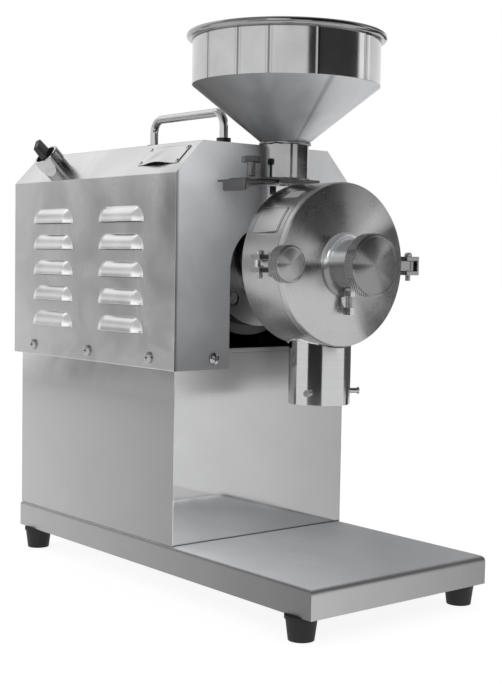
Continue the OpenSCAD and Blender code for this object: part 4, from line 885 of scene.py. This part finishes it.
# %% [markdown]
# ## Screw threads
# A thread is a small three-cornered ridge that climbs round a rod. The Screw modifier sweeps any
# outline up a helix, so a circle with three corners is turned on edge, set at the rod's radius and
# swept. The open ends are filled, and the normals are then made to point outwards.

# %% Screw threads
def thread(name, radius, pitch, length):
    """A ridge that climbs round the origin's Z axis, left in edit mode."""
    ridge = start(name, bpy.ops.mesh.primitive_circle_add, vertices=3, radius=pitch * 0.5)
    pick_all()
    bpy.ops.transform.rotate(value=pi / 2, orient_axis="Z", center_override=(0, 0, 0))
    bpy.ops.transform.rotate(value=pi / 2, orient_axis="X", center_override=(0, 0, 0))
    bpy.ops.transform.translate(value=(radius, 0, -length / 2 + pitch / 2))
    use_modifier(ridge, "SCREW", axis="Z", screw_offset=pitch, iterations=int(length / pitch) - 1,
                 steps=20, render_steps=20)
    bpy.ops.object.mode_set(mode="EDIT")
    pick_all()
    bpy.ops.mesh.remove_doubles(threshold=1e-6)
    bpy.ops.mesh.fill_holes(sides=0)
    bpy.ops.mesh.normals_make_consistent()
    ridge.data.materials.append(finishes["bolt_steel"])
    return ridge


HEAD_R, BOLT_R, PIN_R = 0.00375, 0.0029, 0.0024
pins_low, pins_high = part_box("pivot_bolts")
THREADS = (
    # name, body, radius, pitch, length, place
    ("lock_thread", "lock_screw", BOLT_R, 0.001, 0.0096,
     shift((0, middle("lock_screw").y, mill_axis.z - 0.034))),
    ("clamp_thread", "clamp_bolt", BOLT_R, 0.001, 0.022,
     shift((clamp_axis.x, clamp_high.y + 0.0118, clamp_axis.z)) @ FACE_FRONT),
    ("clamp_pivot_thread", "mill_body", PIN_R, 0.0008, 0.0048,
     shift((clamp_axis.x, pins_high.y - HEAD_R, mill_axis.z - 0.0109))),
    ("hinge_pivot_thread", "mill_body", PIN_R, 0.0008, 0.0048,
     shift((pins_high.x - HEAD_R, pins_low.y + HEAD_R, mill_axis.z - 0.0119))),
)
for name, body, radius, pitch, length, place in THREADS:
    hand_over(thread(name, radius, pitch, length), body, place)

# %% [markdown]
# ## The thumb screw
# The small screw that holds the gate has a knurled head on a threaded stem. Head and thread are made
# with the tools above, a plain stem joins them, and the three become one piece with Join.

# %% The thumb screw
HEAD_HIGH, STEM_R = 0.006, 0.004
thumb_low, thumb_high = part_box("gate_thumb_screw")
thumb_mid = middle("gate_thumb_screw")
thumb_axis, thumb_r = Vector((thumb_mid.x, thumb_mid.y, 0)), (thumb_high.x - thumb_low.x) / 2
turned_steel("knurled_thumb_screw_face", thumb_axis, UPRIGHT, 0.30, 0.20, spin=0.8)
head = knurled_knob("knurled_thumb_screw", thumb_axis, UPRIGHT, thumb_r, HEAD_HIGH,
                    chamfer=0.0007, pitch=0.0018, tooth=0.0005)
stem_long = thumb_high.z - thumb_low.z - HEAD_HIGH
stem_end = -HEAD_HIGH / 2 - stem_long
bpy.ops.mesh.primitive_cylinder_add(vertices=32, radius=STEM_R, depth=stem_long,
                                    location=(0, 0, -HEAD_HIGH / 2 - stem_long / 2))
choose(head, "EDGE", lambda p, d: abs(p.z - stem_end) < 1e-6)
bpy.ops.mesh.bevel(offset=0.0007, segments=2, affect="EDGES")
object_mode()
winding = thread("thumb_thread", STEM_R - 0.0001, 0.0012, 0.0125)
object_mode()
winding.location = (0, 0, -0.0098)
bpy.ops.object.select_all(action="DESELECT")
winding.select_set(True)
head.select_set(True)
bpy.context.view_layer.objects.active = head
bpy.ops.object.join()
hand_over(head, "thumb_screw",
          shift((thumb_mid.x, thumb_mid.y, thumb_high.z - HEAD_HIGH / 2)), ["gate_thumb_screw"])

# %% [markdown]
# ## The switch lever
# A moulded bar stands across a round disc inside the chrome collar. The bar narrows a little towards
# its top, as a moulding must to leave its mould, and all its edges are rounded. It is modelled upright
# at the origin, and then leaned onto the sloping facet by one matrix.

# %% The switch lever
BAR_SIZE, BAR_MID, BAR_TOP = (0.020, 0.008, 0.024), 0.025, 0.037
DISC_R, DISC_HIGH, DISC_MID = 0.0115, 0.007, 0.0148
SWITCH_AT, LEVER_TURN = (-0.097864, 0.181, 0.41644), radians(40)
FACET_LEAN = Matrix.Rotation(radians(-46.1), 4, "Y")


def bar_edge(place, way):
    """The outer edges of the bar's top, and its upright edges."""
    on_top = abs(place.z - BAR_TOP) < 1e-5 and place.xy.length > 0.0028
    outside = max(abs(place.x) - 0.0075, abs(place.y) - 0.0029) > 0
    return on_top and outside or abs(way.z) > 0.8


lever = start("switch_bar", bpy.ops.mesh.primitive_cube_add, size=1)
pick_all()
bpy.ops.transform.resize(value=BAR_SIZE)
bpy.ops.transform.translate(value=(0, 0, BAR_MID))
choose(lever, "FACE", lambda p, n: n.z > 0.9)
bpy.ops.transform.resize(value=(0.86, 0.78, 1))
bpy.ops.mesh.inset(thickness=0.0013)
bpy.ops.mesh.extrude_region_move(TRANSFORM_OT_translate={"value": (0, 0, -0.0005)})
choose(lever, "EDGE", bar_edge)
bpy.ops.mesh.bevel(offset=0.0009, segments=3, affect="EDGES")
bpy.ops.mesh.primitive_cylinder_add(vertices=64, radius=DISC_R, depth=DISC_HIGH, location=(0, 0, DISC_MID))
disc_top = DISC_MID + DISC_HIGH / 2
choose(lever, "EDGE", lambda p, d: abs(p.z - disc_top) < 1e-5 and p.xy.length > 0.011)
bpy.ops.mesh.bevel(offset=0.0008, segments=3, affect="EDGES")
lever.data.materials.append(finishes["black_plastic"])
on_facet = shift(SWITCH_AT) @ FACET_LEAN @ Matrix.Rotation(LEVER_TURN, 4, "Z")
hand_over(lever, "switch", on_facet, ["switch_lever"])

# %% [markdown]
# ## The bowed plate
# A thin bare plate is riveted to the facet by its corners, and between the rivets its lower edge has
# sprung away from the sheet, which leaves a dark gap. A grid with its lower middle pulled up by
# proportional editing has just that bow, and Solidify then gives the sheet its thickness.

# %% The bowed plate
PLATE_WIDE, PLATE_LONG, PLATE_BOW = 0.025, 0.066, 0.0032
side_x, end_y = PLATE_WIDE / 2 - 0.0001, PLATE_LONG / 2 - 0.0001
plate = start("bowed_plate", bpy.ops.mesh.primitive_grid_add, x_subdivisions=10, y_subdivisions=26, size=1)
pick_all()
bpy.ops.transform.resize(value=(PLATE_WIDE, PLATE_LONG, 1))
choose(plate, "VERT", lambda p, n: abs(p.x) > side_x and abs(p.y) > end_y)
bpy.ops.mesh.bevel(offset=0.0016, segments=3, affect="VERTICES")
choose(plate, "VERT", lambda p, n: p.x < -side_x and abs(p.y) < 0.002)
bpy.ops.transform.translate(value=(0, 0, PLATE_BOW), use_proportional_edit=True,
                            proportional_edit_falloff="SMOOTH", proportional_size=0.029)
use_modifier(plate, "SOLIDIFY", thickness=0.0007, offset=1.0)
use_modifier(plate, "BEVEL", width=0.00015, segments=2, limit_method="ANGLE")
plate.data.materials.append(finishes["plate_aluminium"])
on_facet = shift((-0.092936, middle("name_plate").y, 0.42156)) @ FACET_LEAN
hand_over(plate, "mill_body", on_facet @ shift((0, 0, 0.0001)), ["name_plate"])

# %% [markdown]
# ## The drum's bare label and patch
# A metal foil with cut corners and a thin printed frame is wrapped on the drum, and a small pale patch
# of paper sits above it. One edge, spun round the mill's axis, gives a sheet that follows the drum
# exactly, so one tool makes both. Two insets, from the label's outline inwards, mark out the margin
# and the frame line, and the line's faces get the ink.

# %% The drum's bare label and patch
drum_r = (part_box("grinding_drum")[1].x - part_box("grinding_drum")[0].x) / 2
LABEL_ARC, PATCH_ARC = (47, 70), (29, 37.5)
CORNER_CUT, MARGIN, FRAME_LINE = 0.0032, 0.0012, 0.0007
PATCH_WIDE, PATCH_Y = 0.019, -0.1425


def wrapped_foil(name, wide, y, arc):
    """A sheet spun between two angles left of the drum's top, its place, and a test for its ends."""
    foil = start(name, bpy.ops.mesh.primitive_plane_add, size=wide)
    choose(foil, "VERT", lambda p, n: p.x < 0)
    bpy.ops.mesh.delete(type="VERT")
    pick_all()
    bpy.ops.transform.translate(value=(-wide / 2, 0, drum_r + 0.0001))
    bpy.ops.mesh.spin(steps=18, angle=radians(arc[1] - arc[0]), center=(0, 0, 0), axis=(0, 1, 0))
    pick_all()
    bpy.ops.mesh.remove_doubles(threshold=1e-6)
    bpy.ops.mesh.normals_make_consistent()
    across = [corner.co.x for corner in bmesh.from_edit_mesh(foil.data).verts]
    left, right = min(across), max(across)
    turn = radians(arc[1] if right > 1e-4 else arc[0])
    place = shift((0, y, mill_axis.z)) @ Matrix.Rotation(-turn, 4, "Y")
    return foil, place, lambda p, n: min(abs(p.x - left), abs(p.x - right)) < 1e-5


label_low, label_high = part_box("drum_label")
label_wide, label_y = label_high.y - label_low.y, middle("drum_label").y
label, place, at_end = wrapped_foil("framed_label", label_wide, label_y, LABEL_ARC)
choose(label, "VERT", lambda p, n: at_end(p, n) and abs(p.y) > 0.0184)
bpy.ops.mesh.bevel(offset=CORNER_CUT, affect="VERTICES")
bpy.ops.mesh.select_mode(type="FACE")
pick_all()
bpy.ops.mesh.inset(thickness=MARGIN)
bpy.ops.mesh.inset(thickness=FRAME_LINE, use_select_inset=True)
for finish in ("label_foil", "label_ink"):
    label.data.materials.append(finishes[finish])
paint_chosen(label, 1)
use_modifier(label, "SOLIDIFY", thickness=0.0003, offset=1.0)
hand_over(label, "mill_body", place, ["drum_label"])

patch, place, at_end = wrapped_foil("paper_patch", PATCH_WIDE, PATCH_Y, PATCH_ARC)
choose(patch, "VERT", at_end)
bpy.ops.mesh.bevel(offset=0.0008, segments=2, affect="VERTICES")
use_modifier(patch, "SOLIDIFY", thickness=0.0002, offset=1.0)
patch.data.materials.append(finishes["patch_paper"])
hand_over(patch, "mill_body", place)

# %% [markdown]
# ## Weld beads round the neck
# Where the cone meets the neck, and the neck meets the gate's plate, a weld runs round in small
# overlapping puddles. A torus is too even, so its points are pushed a little in and out at random, with
# a fixed seed, and a subdivision melts the jags into lumps.

# %% Weld beads round the neck
def lumps(bead, size, seed, finish="weld_steel"):
    """Turns an even bead into a lumpy one."""
    bpy.ops.object.mode_set(mode="EDIT")
    pick_all()
    bpy.ops.mesh.normals_make_consistent()
    bpy.ops.transform.vertex_random(offset=size, uniform=0.0, normal=1.0, seed=seed, wait_for_input=False)
    use_modifier(bead, "SUBSURF", levels=1, render_levels=1)
    bead.data.materials.append(finishes[finish])


NECK_R = 0.0235
NECK_WELDS = (
    # name, height, radius, thickness, seed
    ("cone_weld", 0.4348, NECK_R + 0.0004, 0.0017, 3),
    ("neck_weld", 0.4004, NECK_R + 0.0005, 0.0013, 8),
)
for name, height, radius, size, seed in NECK_WELDS:
    ring = start(name, bpy.ops.mesh.primitive_torus_add, major_radius=radius, minor_radius=size,
                 major_segments=64, minor_segments=8)
    object_mode()
    lumps(ring, 0.4 * size, seed)
    hand_over(ring, "mill_body", shift((0, hopper_mid.y, height)))

# %% [markdown]
# ## Welds on round walls
# The spout is welded under the drum and the inlet on top of the throat, so these beads follow a saddle.
# Working out the saddle is not needed: a flat circle is projected onto the solid by Shrinkwrap, its
# line becomes a curve, and the curve's bevel gives the bead its thickness.

# %% Welds on round walls
def saddle_weld(name, target, centre, radius, height, keep, size, seed, finish="weld_steel"):
    """A bead laid on a solid between two places along Y."""
    bead = start(name, bpy.ops.mesh.primitive_circle_add, vertices=96, radius=radius)
    choose(bead, "VERT", lambda p, n: not keep[0] <= p.y + centre.y <= keep[1])
    bpy.ops.mesh.delete(type="VERT")
    object_mode()
    bead.location = (centre.x, centre.y, height)
    bpy.ops.object.transform_apply(location=True)
    use_modifier(bead, "SHRINKWRAP", target=solids[target], wrap_method="PROJECT", use_project_z=True,
                 use_negative_direction=True)
    bpy.ops.object.convert(target="CURVE")
    bead = bpy.context.object
    bead.data.bevel_depth, bead.data.bevel_resolution, bead.data.use_fill_caps = size, 2, True
    bpy.ops.object.convert(target="MESH")
    bead = bpy.context.object
    lumps(bead, 0.35 * size, seed, finish)
    return bead


spout_r = (spout_high.x - spout_low.x) / 2
weld = saddle_weld("spout_weld", "grinding_drum", spout_axis, spout_r + 0.0004, height=0.20,
                   keep=(-0.1575, -0.1115), size=0.0016, seed=5, finish="fresh_weld")
hand_over(weld, "mill_body")
weld = saddle_weld("inlet_weld", "feed_throat", hopper_mid, NECK_R + 0.0003, height=0.42,
                   keep=(-0.1085, -0.0545), size=0.0014, seed=6)
hand_over(weld, "mill_body")
